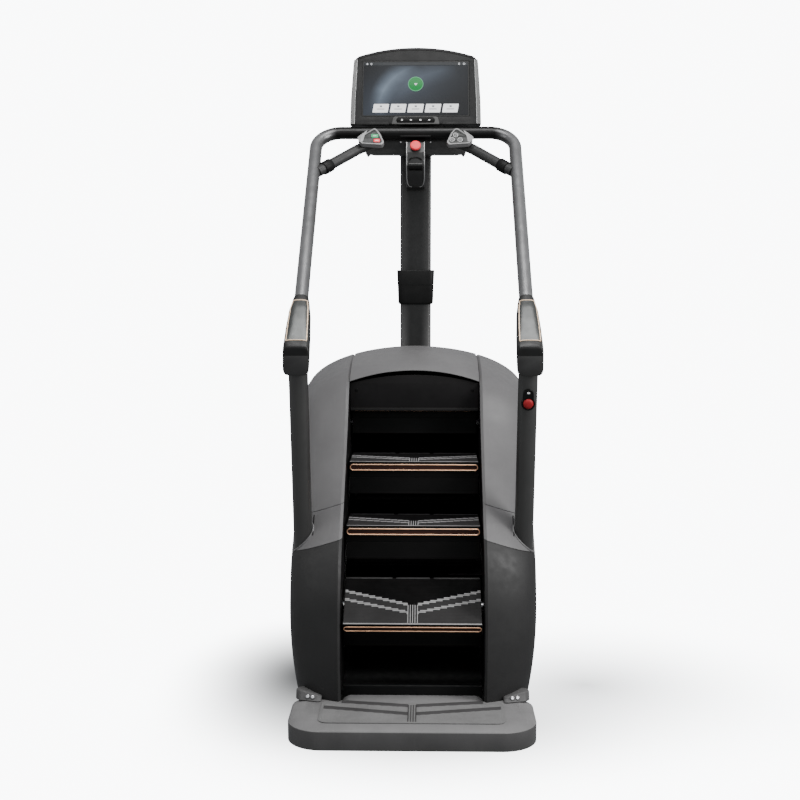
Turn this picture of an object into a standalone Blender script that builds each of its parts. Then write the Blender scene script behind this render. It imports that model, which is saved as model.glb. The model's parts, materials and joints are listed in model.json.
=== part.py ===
"""Stair climber: a revolving staircase between two moulded flanks, with a
step-up platform, grab posts, a bent handrail and a console on a mast.

Metres, +Z up.  The user stands on the -Y side and faces +Y.  The origin is on
the floor, under the middle of the machine.
"""
import math

import bmesh
import bpy
from mathutils import Matrix, Vector

# ---------------------------------------------------------------- dimensions
GAP = 0.0003            # clearance between pieces that touch
LENGTH = 1.41           # platform front to rear cover
HALF_LENGTH = LENGTH / 2
SHELL = 0.004           # wall of the moulded covers

# staircase
STEP_RUN = 0.200
STEP_RISE = 0.190
STEP_COUNT = 8
RUN_STEPS = 3           # steps on each straight run; one more on each turn
STEP_PITCH = math.hypot(STEP_RUN, STEP_RISE)
SPROCKET_RADIUS = STEP_PITCH / math.pi
SLOPE = math.atan2(STEP_RISE, STEP_RUN)
SHAFT_SPACING = RUN_STEPS * STEP_PITCH
LOWER_SHAFT = Vector((0, -0.2208, 0.3335))
UP_SLOPE = Vector((0, math.cos(SLOPE), math.sin(SLOPE)))
OUTWARD = Vector((0, -math.sin(SLOPE), math.cos(SLOPE)))
UPPER_SHAFT = LOWER_SHAFT + UP_SLOPE * SHAFT_SPACING
STEP_PHASE = 0.191      # share of a pitch that each step is past its tangent
TREAD_HALF = 0.2285
TREAD_TOP = 0.0715      # above the chain pin
TREAD_FRONT = -0.137
TREAD_REAR = 0.0715
NOSING_DEPTH = 0.033
TREAD_THICK = 0.0215
RISER_FOOT = -0.045
PIN_RADIUS = 0.006
CHAIN_INNER = 0.2445
CHAIN_OUTER = 0.2605
CHAIN_HALF = 0.0062

# frame
PLATE_INNER = 0.285
PLATE_OUTER = 0.291
PLATE_REAR = 0.630
SHAFT_RADIUS = 0.015
FRAME_LOW = 0.018
FRAME_HIGH = 0.078
FRAME_FRONT = -0.395
FRAME_REAR = 0.615
BEAM_INNER = 0.270      # the two long members
BEAM_OUTER = 0.330
CROSS_MEMBERS = (-0.385, 0.080, 0.480)
CROSS_WIDE = 0.050
FOOT_SPOTS = [(-0.300, -0.355), (0.300, -0.355), (-0.300, 0.550), (0.300, 0.550)]
FOOT_BORE = 0.0063
WHEEL_Y = 0.588
WHEEL_Z = 0.0305
WHEEL_RADIUS = 0.025

# drive
ALTERNATOR = Vector((0, 0.450, 0.350))
ALTERNATOR_RADIUS = 0.068
PULLEY_RADIUS = 0.130
SMALL_PULLEY_RADIUS = 0.0244
BELT_LEFT = 0.302
BELT_RIGHT = 0.322
BELT_THICK = 0.004
SPROCKET_TEETH = 14
SPROCKET_WIDE = 0.006
SHAFT_END = 0.302

# covers
OPENING_HALF = 0.236
BODY_HALF = 0.417
CORNER_DROP = 0.170
SEAM_LOW = 0.597        # height of the seams at the opening
SEAM_HIGH = 0.700
SEAM_FALL = 0.34        # fall of a seam per metre outward
RIM = [(-0.467, 0.030), (-0.467, 0.150), (-0.460, 0.300), (-0.440, 0.440),
       (-0.395, 0.550), (-0.300, 0.650), (-0.140, 0.813), (-0.010, 0.950),
       (0.090, 1.085), (0.230, 1.140), (0.390, 1.157)]
RIM_CREST = [(0.535, 1.154), (0.630, 1.128), (0.667, 1.050)]
FLANK = [(-0.327, 0.030), (-0.327, 0.150), (-0.320, 0.290), (-0.302, 0.410),
         (-0.268, 0.490), (-0.195, 0.560), (-0.040, 0.715), (0.085, 0.850),
         (0.180, 0.965), (0.275, 1.008), (0.385, 1.017)]
FLANK_CREST = [(0.480, 1.016), (0.522, 0.998), (0.537, 0.945)]
COWL_START = 8          # first outline point of the top cowl
REAR_START = 13         # first outline point of the rear cover
COWL_REAR = 0.612       # seam between top cowl and rear cover
COWL_ARCH = 0.18        # how far the cowl's front edge draws back at the centre line
APRON_LOW = 0.975
APRON_TOP = 1.1076      # at the centre line; it falls with the cowl
APRON_FALL = 0.0316

# power inlet, low on the rear cover
INLET = (Vector((0.090, HALF_LENGTH - 0.036, 0.100)),
         Vector((0.150, HALF_LENGTH - 0.0065, 0.140)))

# platform
PLATFORM_HALF = 0.397
PLATFORM_CORNER = 0.115
PLATFORM_TOP = 0.075
PLATFORM_EDGE = 0.010   # rounding of the platform's rim
PLATFORM_SHY = 0.004    # gap between the platform and the covers
MAT_HALF = 0.297
MAT_FRONT = -0.665
MAT_REAR = -0.478
MAT_THICK = 0.003

# rails and mast
RAIL_X = 0.3755
RAIL_RADIUS = 0.0237
GRIP_TOP = Vector((0, -0.261, 1.390))
CROSSBAR = Vector((0, 0.430, 2.006))
RAIL_BEND = 0.095
POST_X = 0.375
POST_TOP = Vector((0, -0.4004, 1.200))
POST_FOOT = Vector((0, -0.2065, 0.300))
POST_HALF_X = 0.032
POST_HALF_Y = 0.029
MAST_Y = 0.570
MAST_HALF_X = 0.0605
MAST_HALF_Y = 0.035
MAST_LOW = 1.112        # just above the top cowl
MAST_HIGH = 2.115
MAST_WALL = 0.004
COLLAR_LOW = 1.350
COLLAR_HIGH = 1.484
GRIP_END = Vector((0, -0.4350, 1.1940))
GRIP_SECTIONS = [       # share along the grip, half sizes, share upright
    (0.00, 0.0265, 0.0265, 0.0), (0.10, 0.0305, 0.0290, 0.0), (0.28, 0.0370, 0.0360, 0.35),
    (0.60, 0.0415, 0.0440, 0.75), (0.90, 0.0435, 0.0480, 1.0), (1.00, 0.0405, 0.0460, 1.0)]
GRIP_SQUARE = 0.65      # exponent that squares the grip's section
STOP_HEIGHT = 1.064     # stop button on the right post
BAR_RADIUS = 0.0200     # hand bars between rail and keypads
BAR_MEET = 0.242        # where a hand bar leaves the rail, along Y

# console
CONSOLE_FOOT = Vector((0, 0.420, 2.035))
CONSOLE_TILT = math.radians(-16)
CONSOLE_HEIGHT = 0.312
CONSOLE_ARCH = 0.036    # rise of the arched top
ARCH_HALF = 0.222
ARCH_ANGLE = math.radians(28)
WINDOW = (0.2045, 0.032, 0.256)     # half width, low and high edge of the display
TRAY_FRONT = 0.4545
TRAY_TOP = 1.990
TRAY_REAR = MAST_Y - MAST_HALF_Y - GAP
BUTTON_FACING = Vector((0, -0.866, 0.5))
BUTTON_SPOT = Vector((0, 0.4000, 1.9485))
POD_CENTRE = Vector((0.167, 0.350, 1.984))
POD_TILT = math.radians(-32)
POD_OUTLINE = [(-0.014, 0.046), (-0.034, 0.018), (-0.050, -0.022), (-0.043, -0.036),
               (0.036, -0.030), (0.052, -0.008)]
LEFT_KEYS = (("start_key", (-0.014, 0.004), (0.0140, 0.0088), "green"),
             ("stop_key", (-0.022, -0.017), (0.0125, 0.0080), "red"))
RIGHT_KEYS = (("level_up_key", (-0.016, 0.008)), ("level_down_key", (-0.029, -0.013)),
              ("select_key", (0.001, -0.014)))
KEY_RADIUS = 0.0072
KEY_FACE = -0.0015      # keys stand this far out of the pod
KEY_BASE = 0.0045

COLLECTION = "stair_climber"


# ------------------------------------------------------------------- helpers
def clear_scene():
    for obj in list(bpy.data.objects):
        bpy.data.objects.remove(obj, do_unlink=True)


def collection(name):
    made = bpy.data.collections.new(name)
    bpy.context.scene.collection.children.link(made)
    return made


def material(name, colour, roughness, metallic=0.0):
    mat = bpy.data.materials.new(name)
    mat.use_nodes = True
    shader = mat.node_tree.nodes["Principled BSDF"]
    shader.inputs["Base Color"].default_value = (*colour, 1)
    shader.inputs["Roughness"].default_value = roughness
    shader.inputs["Metallic"].default_value = metallic
    return mat


FINISHES = {
    "charcoal": ((0.075, 0.073, 0.070), 0.45, 0.3),
    "dark": ((0.030, 0.029, 0.029), 0.50, 0.0),
    "black": ((0.012, 0.012, 0.012), 0.60, 0.0),
    "panel": ((0.110, 0.108, 0.106), 0.42, 0.1),
    "silver": ((0.300, 0.300, 0.300), 0.35, 0.9),
    "steel": ((0.420, 0.420, 0.420), 0.40, 1.0),
    "rubber": ((0.020, 0.020, 0.020), 0.85, 0.0),
    "glass": ((0.030, 0.045, 0.060), 0.08, 0.0),
    "red": ((0.600, 0.030, 0.030), 0.40, 0.0),
    "green": ((0.040, 0.350, 0.150), 0.40, 0.0),
    "grey": ((0.220, 0.220, 0.220), 0.50, 0.0),
}


def dress(obj, finish):
    colour, roughness, metallic = FINISHES[finish]
    obj.data.materials.clear()
    obj.data.materials.append(material(obj.name, colour, roughness, metallic))
    return obj


def link(name, data, where, finish=None):
    obj = bpy.data.objects.new(name, data)
    where.objects.link(obj)
    if finish:
        dress(obj, finish)
    return obj


def from_bmesh(name, bm, where, finish=None, smooth=False):
    bmesh.ops.recalc_face_normals(bm, faces=bm.faces)
    mesh = bpy.data.meshes.new(name)
    bm.to_mesh(mesh)
    bm.free()
    if smooth:
        mesh.shade_smooth()
        mesh.set_sharp_from_angle(angle=math.radians(40))
    return link(name, mesh, where, finish)


def box(name, low, high, where, finish=None):
    """A box between two corners, with its origin at its middle."""
    low = Vector(low)
    high = Vector(high)
    bm = bmesh.new()
    bmesh.ops.create_cube(bm, size=1)
    bmesh.ops.scale(bm, vec=high - low, verts=bm.verts)
    obj = from_bmesh(name, bm, where, finish)
    obj.location = (low + high) / 2
    return obj


def cylinder(name, start, end, radius, where, finish=None, sides=20, radius_end=None):
    """A cylinder or cone from start to end, with its origin at start."""
    start = Vector(start)
    axis = Vector(end) - start
    bm = bmesh.new()
    bmesh.ops.create_cone(bm, cap_ends=True, segments=sides, radius1=radius,
                          radius2=radius if radius_end is None else radius_end,
                          depth=axis.length)
    bmesh.ops.translate(bm, vec=(0, 0, axis.length / 2), verts=bm.verts)
    obj = from_bmesh(name, bm, where, finish, smooth=True)
    obj.location = start
    obj.rotation_mode = "QUATERNION"
    obj.rotation_quaternion = axis.to_track_quat("Z", "X")
    return obj


def wrap(bm, rings):
    """Faces between closed rings of equal count."""
    for a, b in zip(rings, rings[1:]):
        for i in range(len(a)):
            j = (i + 1) % len(a)
            bm.faces.new((a[i], a[j], b[j], b[i]))


ALONG_X = Matrix(((0, 0, 1), (1, 0, 0), (0, 1, 0))).to_4x4()     # outline in YZ
ALONG_Y = Matrix(((1, 0, 0), (0, 0, -1), (0, 1, 0))).to_4x4()    # outline in XZ


def flat(name, outlines, thickness, place, turn, where, finish=None):
    """A flat plate from closed outlines; the later outlines are holes."""
    curve = bpy.data.curves.new(name, "CURVE")
    curve.dimensions = "2D"
    curve.fill_mode = "BOTH"
    curve.extrude = thickness / 2
    for points in outlines:
        spline = curve.splines.new("POLY")
        spline.points.add(len(points) - 1)
        spline.use_cyclic_u = True
        for knot, (u, v) in zip(spline.points, points):
            knot.co = (u, v, 0, 1)
    obj = link(name, curve, where, finish)
    obj.matrix_world = Matrix.Translation(place) @ turn
    return obj


def tube(name, points, radius, where, finish=None, resolution=3):
    """A round tube along points."""
    curve = bpy.data.curves.new(name, "CURVE")
    curve.dimensions = "3D"
    curve.bevel_depth = radius
    curve.bevel_resolution = resolution
    curve.use_fill_caps = True
    spline = curve.splines.new("POLY")
    spline.points.add(len(points) - 1)
    for knot, point in zip(spline.points, points):
        knot.co = (*point, 1)
    return link(name, curve, where, finish)


def to_mesh(obj):
    """The same object as a mesh with its caps welded on."""
    bpy.context.view_layer.update()
    graph = bpy.context.evaluated_depsgraph_get()
    mesh = bpy.data.meshes.new_from_object(obj.evaluated_get(graph))
    bm = bmesh.new()
    bm.from_mesh(mesh)
    bmesh.ops.remove_doubles(bm, verts=bm.verts, dist=0.00001)
    bmesh.ops.recalc_face_normals(bm, faces=bm.faces)
    bm.to_mesh(mesh)
    bm.free()
    name = obj.name
    place = obj.matrix_world.copy()
    where = obj.users_collection[0]
    bpy.data.objects.remove(obj)
    made = bpy.data.objects.new(name, mesh)
    made.matrix_world = place
    where.objects.link(made)
    return made


def boolean(obj, other, operation, solver="EXACT"):
    """A Boolean modifier that cuts or joins another object."""
    step = obj.modifiers.new(operation.lower(), "BOOLEAN")
    step.operation = operation
    step.solver = solver
    step.object = other
    other.hide_render = True
    other.display_type = "WIRE"
    return obj


def round_outline(points, radius, steps=4):
    """The closed outline with each corner turned into an arc."""
    rounded = []
    count = len(points)
    for index, point in enumerate(points):
        here = Vector(point)
        before = Vector(points[index - 1]) - here
        after = Vector(points[(index + 1) % count]) - here
        angle = before.angle(after)
        reach = min(radius / math.tan(angle / 2), before.length * 0.48, after.length * 0.48)
        start = here + before.normalized() * reach
        end = here + after.normalized() * reach
        for step in range(steps + 1):
            t = step / steps
            spot = start.lerp(here, t).lerp(here.lerp(end, t), t)
            rounded.append(tuple(spot))
    return rounded


def circle(centre, radius, sides=20):
    return [(centre[0] + radius * math.cos(math.tau * i / sides),
             centre[1] + radius * math.sin(math.tau * i / sides)) for i in range(sides)]


def mirrored(points):
    """Points of a half outline at +u, closed by their mirror image."""
    return points + [(-u, v) for u, v in reversed(points) if abs(u) > 1e-6]


def yz(vector):
    return (vector[1], vector[2])


# -------------------------------------------------------------------- covers
def drop(x):
    """How far the covers fall away from the centre line at half width x."""
    share = min(abs(x) / BODY_HALF, 1)
    return CORNER_DROP * (1 - math.sqrt(1 - share * share))


def outlines():
    """The body's side outline at the opening and at the flank, front to rear."""
    rim = [Vector(p) for p in RIM + RIM_CREST]
    flank = [Vector(p) for p in FLANK + FLANK_CREST]
    for index in range(7, -1, -1):
        rim.append(Vector((HALF_LENGTH - drop(OPENING_HALF), RIM[index][1])))
        flank.append(Vector((HALF_LENGTH - drop(BODY_HALF), FLANK[index][1])))
    return rim, flank


def cover_point(rim, flank, x):
    """A point of the outer surface: rim outline moved towards the flank outline."""
    share = (drop(x) - drop(OPENING_HALF)) / (drop(BODY_HALF) - drop(OPENING_HALF))
    return rim.lerp(flank, share)


def waist(x, z):
    """Draws the flank in near the floor."""
    if abs(x) <= OPENING_HALF:
        return x
    tuck = 0.030 * (max(0, 0.36 - z) / 0.30) ** 2
    share = (abs(x) - OPENING_HALF) / (BODY_HALF - OPENING_HALF)
    return math.copysign(abs(x) - tuck * share, x)


def flank_mesh(side):
    """The open outer surface of one flank, from the opening's rim to the side."""
    rim, flank = outlines()
    first = math.asin(OPENING_HALF / BODY_HALF)
    rows = 6
    bm = bmesh.new()
    grid = []
    for row in range(rows + 1):
        angle = first + (math.pi / 2 - first) * row / rows
        x = BODY_HALF * math.sin(angle)
        line = []
        for r, f in zip(rim, flank):
            y, z = cover_point(r, f, x)
            line.append(bm.verts.new((side * waist(x, z), y, z)))
        grid.append(line)
    for inner, outer in zip(grid, grid[1:]):
        for i in range(len(inner) - 1):
            bm.faces.new((inner[i], inner[i + 1], outer[i + 1], outer[i]))
    edge = grid[-1]
    half = len(edge) // 2
    for i in range(half - 1):
        bm.faces.new((edge[i], edge[i + 1], edge[-2 - i], edge[-1 - i]))
    bmesh.ops.recalc_face_normals(bm, faces=bm.faces)
    middle = max(bm.faces, key=lambda face: face.calc_area())
    if middle.normal.x * side < 0:
        bmesh.ops.reverse_faces(bm, faces=bm.faces)
    return bm


def trim(bm, point, away):
    """Removes the part of an open surface on the side that away points to."""
    bmesh.ops.bisect_plane(bm, geom=bm.verts[:] + bm.edges[:] + bm.faces[:], dist=1e-6,
                           plane_co=point, plane_no=away, clear_outer=True)


def cut_above(bm, height, side):
    """Keeps what is below a seam; the seam falls outward."""
    trim(bm, (side * OPENING_HALF, 0, height), (side * SEAM_FALL, 0, 1))


def cut_below(bm, height, side):
    """Keeps what is above a seam."""
    trim(bm, (side * OPENING_HALF, 0, height), (-side * SEAM_FALL, 0, -1))


def shell_object(name, bm, where, finish):
    mesh = bpy.data.meshes.new(name)
    bm.to_mesh(mesh)
    bm.free()
    mesh.shade_smooth()
    obj = link(name, mesh, where, finish)
    wall = obj.modifiers.new("wall", "SOLIDIFY")
    wall.thickness = SHELL
    wall.offset = -1
    wall.use_even_offset = True
    return obj


def flank_covers(where, side, word):
    lower = flank_mesh(side)
    cut_above(lower, SEAM_LOW - 0.0005, side)
    shroud = shell_object(word + "_lower_shroud", lower, where, "dark")
    mid = flank_mesh(side)
    cut_below(mid, SEAM_LOW + 0.0005, side)
    cut_above(mid, SEAM_HIGH - 0.0005, side)
    panel = shell_object(word + "_mid_panel", mid, where, "panel")
    upper = flank_mesh(side)
    cut_below(upper, SEAM_HIGH + 0.0005, side)
    shell_object(word + "_side_panel", upper, where, "panel")
    return shroud, panel


def centre_mesh(first, last, arch=0.0):
    """The open outer surface between the flanks, for a stretch of the outline.

    Its first edge draws back towards the second point at the centre line by arch.
    """
    rim, flank = outlines()
    limit = OPENING_HALF - 0.0022
    columns = 10
    bm = bmesh.new()
    grid = []
    for column in range(columns + 1):
        x = -limit + 2 * limit * column / columns
        line = []
        for r, f in zip(rim[first:last], flank[first:last]):
            y, z = cover_point(r, f, x)
            line.append(bm.verts.new((x, y, z)))
        share = arch * (1 - (x / limit) ** 2)
        line[0].co = line[0].co.lerp(line[1].co, share)
        grid.append(line)
    for left, right in zip(grid, grid[1:]):
        for i in range(len(left) - 1):
            bm.faces.new((left[i], left[i + 1], right[i + 1], right[i]))
    bmesh.ops.recalc_face_normals(bm, faces=bm.faces)
    middle = bm.faces[:][len(bm.faces) // 2]
    outward = middle.calc_center_median() - Vector((0, 0.35, 0.6))
    if middle.normal.dot(outward) < 0:
        bmesh.ops.reverse_faces(bm, faces=bm.faces)
    return bm


def covers(where, cutters):
    for side, word in ((-1, "left"), (1, "right")):
        hole = post_shape("post_hole_" + word, side, 0.0010, cutters)
        for cover in flank_covers(where, side, word):
            boolean(cover, hole, "DIFFERENCE")
    crown = centre_mesh(COWL_START, REAR_START + 1, COWL_ARCH)
    trim(crown, (0, COWL_REAR - 0.0005, 0), (0, 1, 0))
    cowl = shell_object("top_cowl", crown, where, "panel")
    hole = box("mast_hole", (-MAST_HALF_X - 0.002, MAST_Y - MAST_HALF_Y - 0.002, 1.05),
               (MAST_HALF_X + 0.002, MAST_Y + MAST_HALF_Y + 0.002, 1.30), cutters)
    boolean(cowl, hole, "DIFFERENCE")
    rear = centre_mesh(REAR_START - 2, 2 * len(RIM))
    trim(rear, (0, COWL_REAR + 0.0005, 0), (0, -1, 0))
    back = shell_object("rear_cover", rear, where, "panel")
    low, high = INLET
    inlet = box("inlet_hole", (low.x - GAP, low.y - 0.020, low.z - GAP),
                (high.x + GAP, high.y + 0.030, high.z + GAP), cutters)
    boolean(back, inlet, "DIFFERENCE")
    apron = [(0.2350, APRON_LOW)]
    for x in (0.2350, 0.200, 0.150, 0.100, 0.050, 0.0):
        apron.append((x, APRON_TOP - APRON_FALL * drop(x) / drop(OPENING_HALF)))
    flat("inner_apron", [mirrored(apron)], 0.003, (0, 0.1015, 0), ALONG_Y, where, "dark")


def skirts(where):
    """Inner side walls of the stairwell, from the rim down to the chain."""
    rim, _ = outlines()
    outer = [Vector((p[0] + 0.006, p[1] - 0.005)) for p in rim[1:COWL_START + 1]]
    outer[0] = Vector((-0.460, 0.100))
    clear = SPROCKET_RADIUS + 0.013
    inner = []
    centre = Vector(yz(LOWER_SHAFT))
    for index in range(9):
        angle = math.radians(250 - index * 14)
        inner.append(centre + Vector((math.cos(angle), math.sin(angle))) * clear)
    straight = Vector(yz(UPPER_SHAFT)) + Vector(yz(OUTWARD)) * clear
    up = Vector(yz(UP_SLOPE))
    end = straight - up * (straight.x - 0.175) / up.x
    outline = [tuple(p) for p in outer]
    outline.append((0.130, 1.080))
    outline.append(tuple(end))
    outline.extend(tuple(p) for p in reversed(inner))
    outline.append((-0.250, 0.100))
    for side, word in ((-1, "left"), (1, "right")):
        flat(word + "_inner_skirt", [outline], 0.004, (side * 0.2385, 0, 0), ALONG_X,
             where, "black")


# --------------------------------------------------------------------- frame
def base_frame(where, cutters):
    members = [((-BEAM_OUTER, FRAME_FRONT, FRAME_LOW), (-BEAM_INNER, FRAME_REAR, FRAME_HIGH)),
               ((BEAM_INNER, FRAME_FRONT, FRAME_LOW), (BEAM_OUTER, FRAME_REAR, FRAME_HIGH))]
    reach = BEAM_INNER + 0.020
    for y in CROSS_MEMBERS:
        members.append(((-reach, y, FRAME_LOW + 0.002),
                        (reach, y + CROSS_WIDE, FRAME_HIGH - 0.004)))
    low, high = members[0]
    frame = box("base_frame", low, high, where, "charcoal")
    for index, (low, high) in enumerate(members[1:]):
        boolean(frame, box("frame_member_%d" % index, low, high, cutters), "UNION")
    for index, (x, y) in enumerate(FOOT_SPOTS):
        bore = cylinder("foot_bore_%d" % index, (x, y, FRAME_LOW - 0.010),
                        (x, y, FRAME_LOW + 0.036), FOOT_BORE, cutters, sides=12)
        boolean(frame, bore, "DIFFERENCE")
    for side in (-1, 1):
        bore = cylinder("axle_bore_%d" % side, (side * 0.262, WHEEL_Y, WHEEL_Z),
                        (side * 0.288, WHEEL_Y, WHEEL_Z), FOOT_BORE, cutters, sides=16)
        boolean(frame, bore, "DIFFERENCE")


def side_plates(where):
    """Steel side plates that carry both shafts."""
    outline = [(-0.380, FRAME_HIGH + GAP), (-0.380, 0.400), (-0.300, 0.500),
               (0.270, 1.060), (0.400, 1.105), (0.596, 1.105), (PLATE_REAR, 1.040),
               (PLATE_REAR, FRAME_HIGH + GAP)]
    holes = [circle(yz(LOWER_SHAFT), SHAFT_RADIUS + 0.0004),
             circle(yz(UPPER_SHAFT), SHAFT_RADIUS + 0.0004)]
    middle = (PLATE_INNER + PLATE_OUTER) / 2
    thick = PLATE_OUTER - PLATE_INNER
    flat("left_side_plate", [outline] + holes, thick, (-middle, 0, 0), ALONG_X, where,
         "charcoal")
    holes.append(circle(yz(ALTERNATOR), 0.0080))
    flat("right_side_plate", [outline] + holes, thick, (middle, 0, 0), ALONG_X, where,
         "charcoal")


def post_shape(name, side, grow, where, finish=None):
    """An oval post along its leaning centre line, with its origin at its foot."""
    foot = POST_FOOT + Vector((side * POST_X, 0, 0))
    top = POST_TOP + Vector((side * POST_X, 0, 0))
    axis = top - foot
    bm = bmesh.new()
    bmesh.ops.create_cone(bm, cap_ends=True, segments=20, radius1=1, radius2=1,
                          depth=axis.length + 2 * grow)
    bmesh.ops.scale(bm, vec=(POST_HALF_X + grow, POST_HALF_Y + grow, 1), verts=bm.verts)
    bmesh.ops.translate(bm, vec=(0, 0, axis.length / 2), verts=bm.verts)
    obj = from_bmesh(name, bm, where, finish, smooth=True)
    obj.location = foot
    obj.rotation_euler = (math.atan2(-axis.y, axis.z), 0, 0)
    return obj


def stop_axis():
    """Where the post's stop button sits, and the way it faces."""
    along = (POST_TOP - POST_FOOT).normalized()
    spot = POST_FOOT + along * ((STOP_HEIGHT - POST_FOOT.z) / along.z)
    facing = Vector((0, -along.z, along.y))
    return spot + Vector((POST_X, 0, 0)), facing


def posts(where, cutters):
    for side, word in ((-1, "left"), (1, "right")):
        post_shape(word + "_post", side, 0, where, "charcoal")
    post = bpy.data.objects["right_post"]
    spot, facing = stop_axis()
    pod = cylinder("stop_pod", spot + facing * 0.010, spot + facing * 0.0375, 0.0235,
                   cutters, sides=24)
    bore = cylinder("stop_bore", spot + facing * 0.0140, spot + facing * 0.050, 0.0175,
                    cutters, sides=24)
    boolean(post, pod, "UNION")
    boolean(post, bore, "DIFFERENCE")
    cylinder("post_stop_button", spot + facing * 0.0200, spot + facing * 0.0425, 0.0170,
             where, "red", sides=24, radius_end=0.0155)


def handrail(where):
    """Both side rails and the crossbar, one bent tube."""
    slope = (CROSSBAR - GRIP_TOP).normalized()
    half = []
    for index in range(8):
        angle = math.pi / 2 * index / 7
        x = RAIL_X - RAIL_BEND + RAIL_BEND * math.cos(angle)
        along = RAIL_BEND * math.sin(angle) - RAIL_BEND
        point = CROSSBAR + slope * along
        half.append(Vector((x, point.y, point.z)))
    start = GRIP_TOP + slope * 0.0005
    points = [Vector((RAIL_X, start.y, start.z))] + half
    points += [Vector((-p.x, p.y, p.z)) for p in reversed(points)]
    tube("handrail", points, RAIL_RADIUS, where, "silver")


def squared(value):
    """A sine or cosine pulled out so that a ring turns squarer."""
    return math.copysign(abs(value) ** GRIP_SQUARE, value)


def grips(where, cutters):
    """Moulded hand grips on the low ends of the rail, with the posts below."""
    tilt = math.atan2(CROSSBAR.z - GRIP_TOP.z, CROSSBAR.y - GRIP_TOP.y)
    sides = 16
    for side, word in ((-1, "left"), (1, "right")):
        bm = bmesh.new()
        rings = []
        for share, half_x, half_z, upright in GRIP_SECTIONS:
            centre = GRIP_TOP.lerp(GRIP_END, share)
            lean = tilt * (1 - upright)
            ring = []
            for index in range(sides):
                angle = math.tau * index / sides
                u = squared(math.cos(angle)) * half_x
                v = squared(math.sin(angle)) * half_z
                y = centre.y - v * math.sin(lean)
                z = centre.z + v * math.cos(lean)
                x = side * (RAIL_X + 0.003 * upright) + u
                ring.append(bm.verts.new((x, y, z)))
            rings.append(ring)
        wrap(bm, rings)
        bm.faces.new(rings[0])
        bm.faces.new(rings[-1])
        grip = from_bmesh(word + "_grip", bm, where, "dark", smooth=True)
        boolean(grip, post_shape("grip_socket_" + word, side, GAP, cutters), "DIFFERENCE")


def mast(where, cutters):
    low = (-MAST_HALF_X, MAST_Y - MAST_HALF_Y, MAST_LOW + GAP)
    high = (MAST_HALF_X, MAST_Y + MAST_HALF_Y, MAST_HIGH)
    outline = round_outline([(low[0], low[1]), (high[0], low[1]), (high[0], high[1]),
                             (low[0], high[1])], 0.020, 3)
    wall = MAST_WALL
    hollow = round_outline([(low[0] + wall, low[1] + wall), (high[0] - wall, low[1] + wall),
                            (high[0] - wall, high[1] - wall),
                            (low[0] + wall, high[1] - wall)], 0.020 - wall, 3)
    post = to_mesh(flat("mast", [outline, hollow], high[2] - low[2],
                        (0, 0, (low[2] + high[2]) / 2), Matrix.Identity(4), where))
    dress(post, "charcoal")
    neck = [(0.4743, 2.0404), (0.5000, 2.1302), (0.5375, 2.1130), (0.5375, 2.0300),
            (0.4800, 2.0300)]
    boolean(post, to_mesh(flat("mast_neck", [neck], 0.096, (0, 0, 0), ALONG_X, cutters)),
            "UNION")
    bm = bmesh.new()
    rings = []
    for z, half_x, half_y in ((COLLAR_LOW, 0.0660, 0.040), (COLLAR_LOW + 0.008, 0.0690, 0.043),
                              (COLLAR_HIGH, 0.0740, 0.048)):
        corners = round_outline([(-half_x, MAST_Y - half_y), (half_x, MAST_Y - half_y),
                                 (half_x, MAST_Y + half_y), (-half_x, MAST_Y + half_y)],
                                0.022, 3)
        rings.append([bm.verts.new((x, y, z)) for x, y in corners])
    bore = round_outline([(-MAST_HALF_X - GAP, MAST_Y - MAST_HALF_Y - GAP),
                          (MAST_HALF_X + GAP, MAST_Y - MAST_HALF_Y - GAP),
                          (MAST_HALF_X + GAP, MAST_Y + MAST_HALF_Y + GAP),
                          (-MAST_HALF_X - GAP, MAST_Y + MAST_HALF_Y + GAP)], 0.020, 3)
    rings.append([bm.verts.new((x, y, COLLAR_HIGH)) for x, y in bore])
    rings.append([bm.verts.new((x, y, COLLAR_LOW)) for x, y in bore])
    rings.append(rings[0])
    wrap(bm, rings)
    from_bmesh("mast_collar", bm, where, "black")


# ----------------------------------------------------------------- staircase
def step_profile():
    """The side outline of a tread with its nosing and riser, from the chain pin."""
    low = TREAD_TOP - NOSING_DEPTH
    under = TREAD_TOP - TREAD_THICK
    front = TREAD_FRONT + 0.007
    return [(TREAD_FRONT, low), (TREAD_FRONT, TREAD_TOP - 0.004),
            (TREAD_FRONT + 0.004, TREAD_TOP), (TREAD_REAR, TREAD_TOP),
            (TREAD_REAR, under), (front + 0.011, under), (front + 0.009, RISER_FOOT),
            (front, RISER_FOOT), (front, low)]


def step_mesh(cutters):
    """A tread, nosing and riser with their end brackets and stub pins.

    The origin is the chain pin that carries it.
    """
    body = to_mesh(flat("step_body", [step_profile()], 2 * TREAD_HALF, (0, 0, 0), ALONG_X,
                        cutters))
    under = TREAD_TOP - TREAD_THICK
    bracket = [(-0.060, under + 0.004), (-0.014, -0.012), (0.014, -0.012),
               (0.040, under + 0.004)]
    for side in (-1, 1):
        ear = to_mesh(flat("step_ear", [bracket], 0.008, (side * (TREAD_HALF - 0.0045), 0, 0),
                           ALONG_X, cutters))
        boolean(body, ear, "UNION")
        pin = cylinder("step_pin", (side * (TREAD_HALF - 0.006), 0, 0),
                       (side * (CHAIN_INNER - 0.0005), 0, 0), PIN_RADIUS, cutters, sides=10)
        boolean(body, pin, "UNION")
    bpy.context.view_layer.update()
    graph = bpy.context.evaluated_depsgraph_get()
    mesh = bpy.data.meshes.new_from_object(body.evaluated_get(graph))
    mesh.transform(body.matrix_world)
    mesh.name = "step"
    return mesh


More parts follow.
